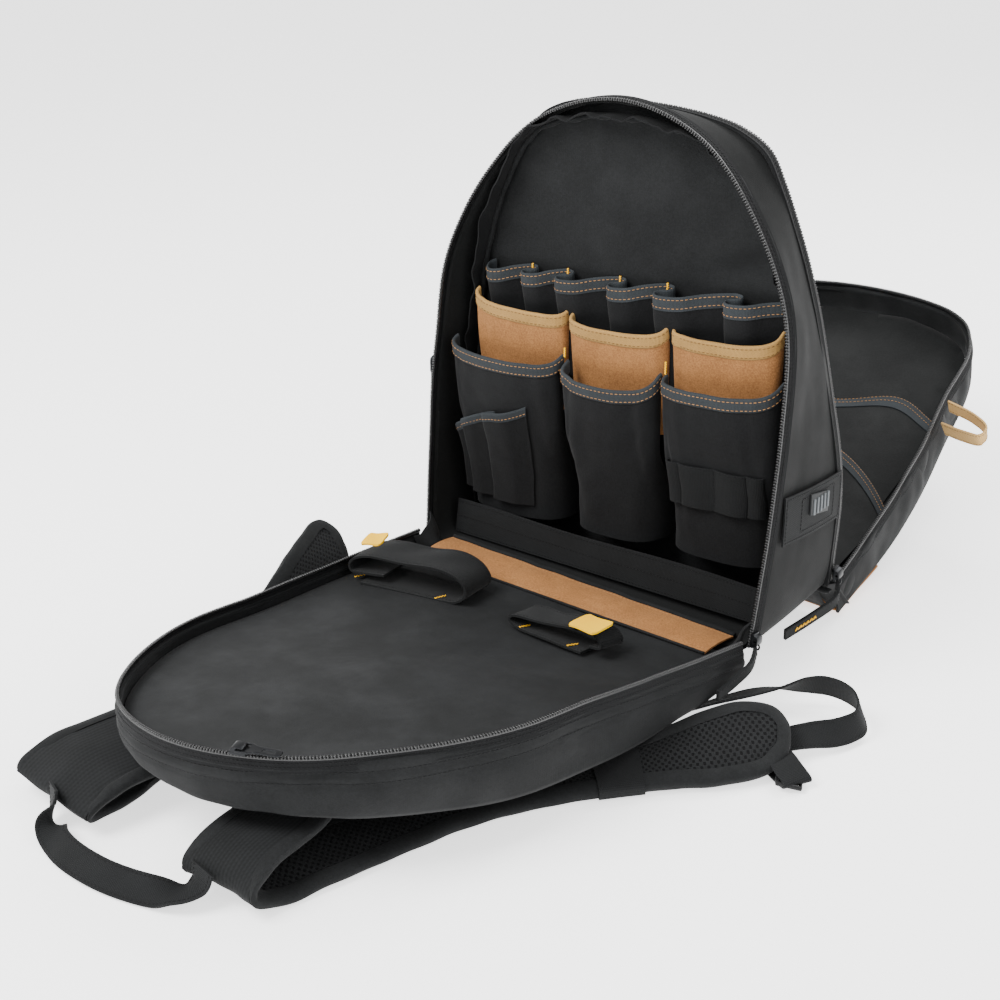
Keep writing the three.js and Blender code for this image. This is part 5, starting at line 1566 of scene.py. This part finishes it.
webbing_plain = woven_finish(
    "binding_tape", linear(14, 15, 15), linear(27, 28, 29), thread=0.0012, depth=0.0003)
right_rows = [
    # inner edge      outer edge       thickness
    [(255, -52, 26), (265, -70, 16), 8],
    [(238, -48, 33), (262, -98, 9), 12],
    [(214, -58, 34), (243, -126, 8), 13],
    [(192, -92, 30), (214, -154, 8), 13],
    [(164, -138, 18), (190, -180, 8), 12],
    [(122, -190, 10), (163, -211, 7.5), 11],
    [(92, -232, 9), (138, -246, 7), 10],
    [(58, -280, 8), (112, -292, 6.5), 9],
    [(34, -335, 8), (93, -350, 6), 8],
    [(16, -390, 8), (76, -405, 6), 8],
    [(2, -436, 8), (64, -446, 6), 8],
    [(-8, -474, 19), (58, -470, 19), 8],
    [(-10, -452, 34), (56, -446, 35), 8],
    [(-10, -410, 39), (56, -400, 40), 8],
    [(-10, -372, 46.6), (52, -362, 46.8), 8],
]
left_rows = [
    [(-236, -62, 42), (-254, -56, 55), 8],
    [(-222, -74, 24), (-266, -68, 66), 12],
    [(-214, -112, 17), (-254, -104, 64), 13],
    [(-213, -158, 12), (-240, -148, 52), 12],
    [(-203, -212, 6.5), (-234, -208, 18), 9],
    [(-160, -268, 6.4), (-214, -284, 7.4), 8],
    [(-142, -320, 6), (-196, -345, 7), 8],
    [(-132, -370, 6), (-198, -392, 7), 8],
    [(-122, -432, 6), (-202, -430, 7), 8],
    [(-114, -478, 18), (-208, -470, 18), 8],
    [(-106, -450, 33), (-206, -440, 32), 8],
    [(-98, -410, 36), (-198, -400, 33), 8],
    [(-94, -350, 43.2), (-182, -340, 37.0), 8],
]
strap_back = ribbed_finish(
    "strap_back", linear(14, 15, 15), linear(27, 28, 29), rib=0.0026, depth=0.00016, lengthways=True)
right_pad, right_normal, right_thick = padded_strap(
    "right_strap", "right_shoulder_strap", right_rows, 200, strap_mesh, strap_back)
padded_strap("left_strap", "left_shoulder_strap", left_rows, 180, strap_back, strap_mesh)

# Webbing band round the right pad, where the adjusting strap is tied down.
band_at = int(np.argmax(right_pad[:, -1, 1] < at([0, -176, 0])[1]))
turns = np.linspace(0, 2 * np.pi, 72, endpoint=False)
band_rings = []
for station in range(band_at - 1, band_at + 13):
    inner, outer = right_pad[station, 0], right_pad[station, -1]
    middle = (inner + outer) / 2
    reach = (outer - inner) / 2 + unit(outer - inner) * 0.0035
    lift = right_normal[station, 12] * (right_thick[station] / 2000 + 0.0016)
    spread = np.sign(np.cos(turns)) * np.abs(np.cos(turns)) ** 0.6
    height = np.sign(np.sin(turns)) * np.abs(np.sin(turns)) ** 0.5
    band_rings.append(middle + spread[:, None] * reach + height[:, None] * lift)
band_places = np.stack(band_rings, axis=1)
pad_band = cloth_grid("pad_band_webbing", band_places, 0.0015, webbing, closed=True)
dress(pad_band, "black_webbing", "pad_band")

# Adjusting webbing: from the pad's tip out in a loop over the floor and back under the tray.
web_points = [
    (244, -66, 13), (257, -50, 13.5), (268, -38, 15), (286, -18, 15), (294, 6, 17),
    (276, 26, 22), (246, 24, 25), (212, -8, 24), (184, -50, 21.5), (164, -88, 19.5)]
web_line = smooth_line(at(web_points), 140)
outward = web_line - at([232, -22, 0])
outward[:, 2] = 0
outward = unit(outward)
outward[:, 2] = -0.3 - 2.6 * bell(np.linspace(0, 1, 141), 0.4, 0.17)
web_places = web_grid(web_line[::7], 140, 0.0238, outward, 11, given=True)
side_web = cloth_grid("adjusting_webbing", web_places, 0.0018, webbing)
dress(side_web, "black_webbing", "right_web_strap")
hem_stitches("adjusting_stitches", web_places, (1, 9), 0.001, dark_thread, "black_webbing")
hard_plastic = moulded_finish("black_acetal", linear(7, 7, 8), linear(13, 14, 15), 0.55)
dress(crisp_copy("ladder_lock", "strap_lock", hard_plastic, 0.0015), "hard_plastic", "ladder_lock")
# A short tape sewn under the pad's tip holds the ladder lock and doubles back round its bar.
lock_run = [
    (252, -72, 14), (264, -79, 14), (276, -87, 13), (288, -93, 9),
    (287, -92, 4.4), (274, -85, 3.4), (257, -76, 4.2)]
lock_web = web_grid(lock_run, 70, 0.0255, [0.5, 0.86, 0])
lock_tape = cloth_grid("lock_webbing", lock_web, 0.0016, webbing)
dress(lock_tape, "black_webbing")

# Carrying loop between the two folds, folded and sewn narrow at its ends.
handle_points = [(-152, -477.9, 32), (-150, -482.4, 17), (-134, -497, 9.5), (-104, -507, 9), (-63, -508, 9),
                 (-26, -501, 9), (2, -490, 10), (12, -479.3, 17), (14, -474.5, 30)]
share = np.linspace(0, 1, 161)
twist = np.maximum(0, np.abs(2 * share - 1) - 0.62) * 5
tilt = smooth((np.abs(2 * share - 1) - 0.42) / 0.4)
lean = np.stack([1.6 * twist, np.where(share < 0.5, -0.3, 0.3) * twist - 0.85, tilt - 0.7], axis=1)
handle_places = web_grid(handle_points, 160, 0.024, lean, 11)
handle = cloth_grid("carrying_loop", handle_places, 0.002, webbing)
dress(handle, "black_webbing", "grab_handle")
hem_stitches("carrying_loop_stitches", handle_places, (1, 9), 0.0012, dark_thread, "black_webbing")
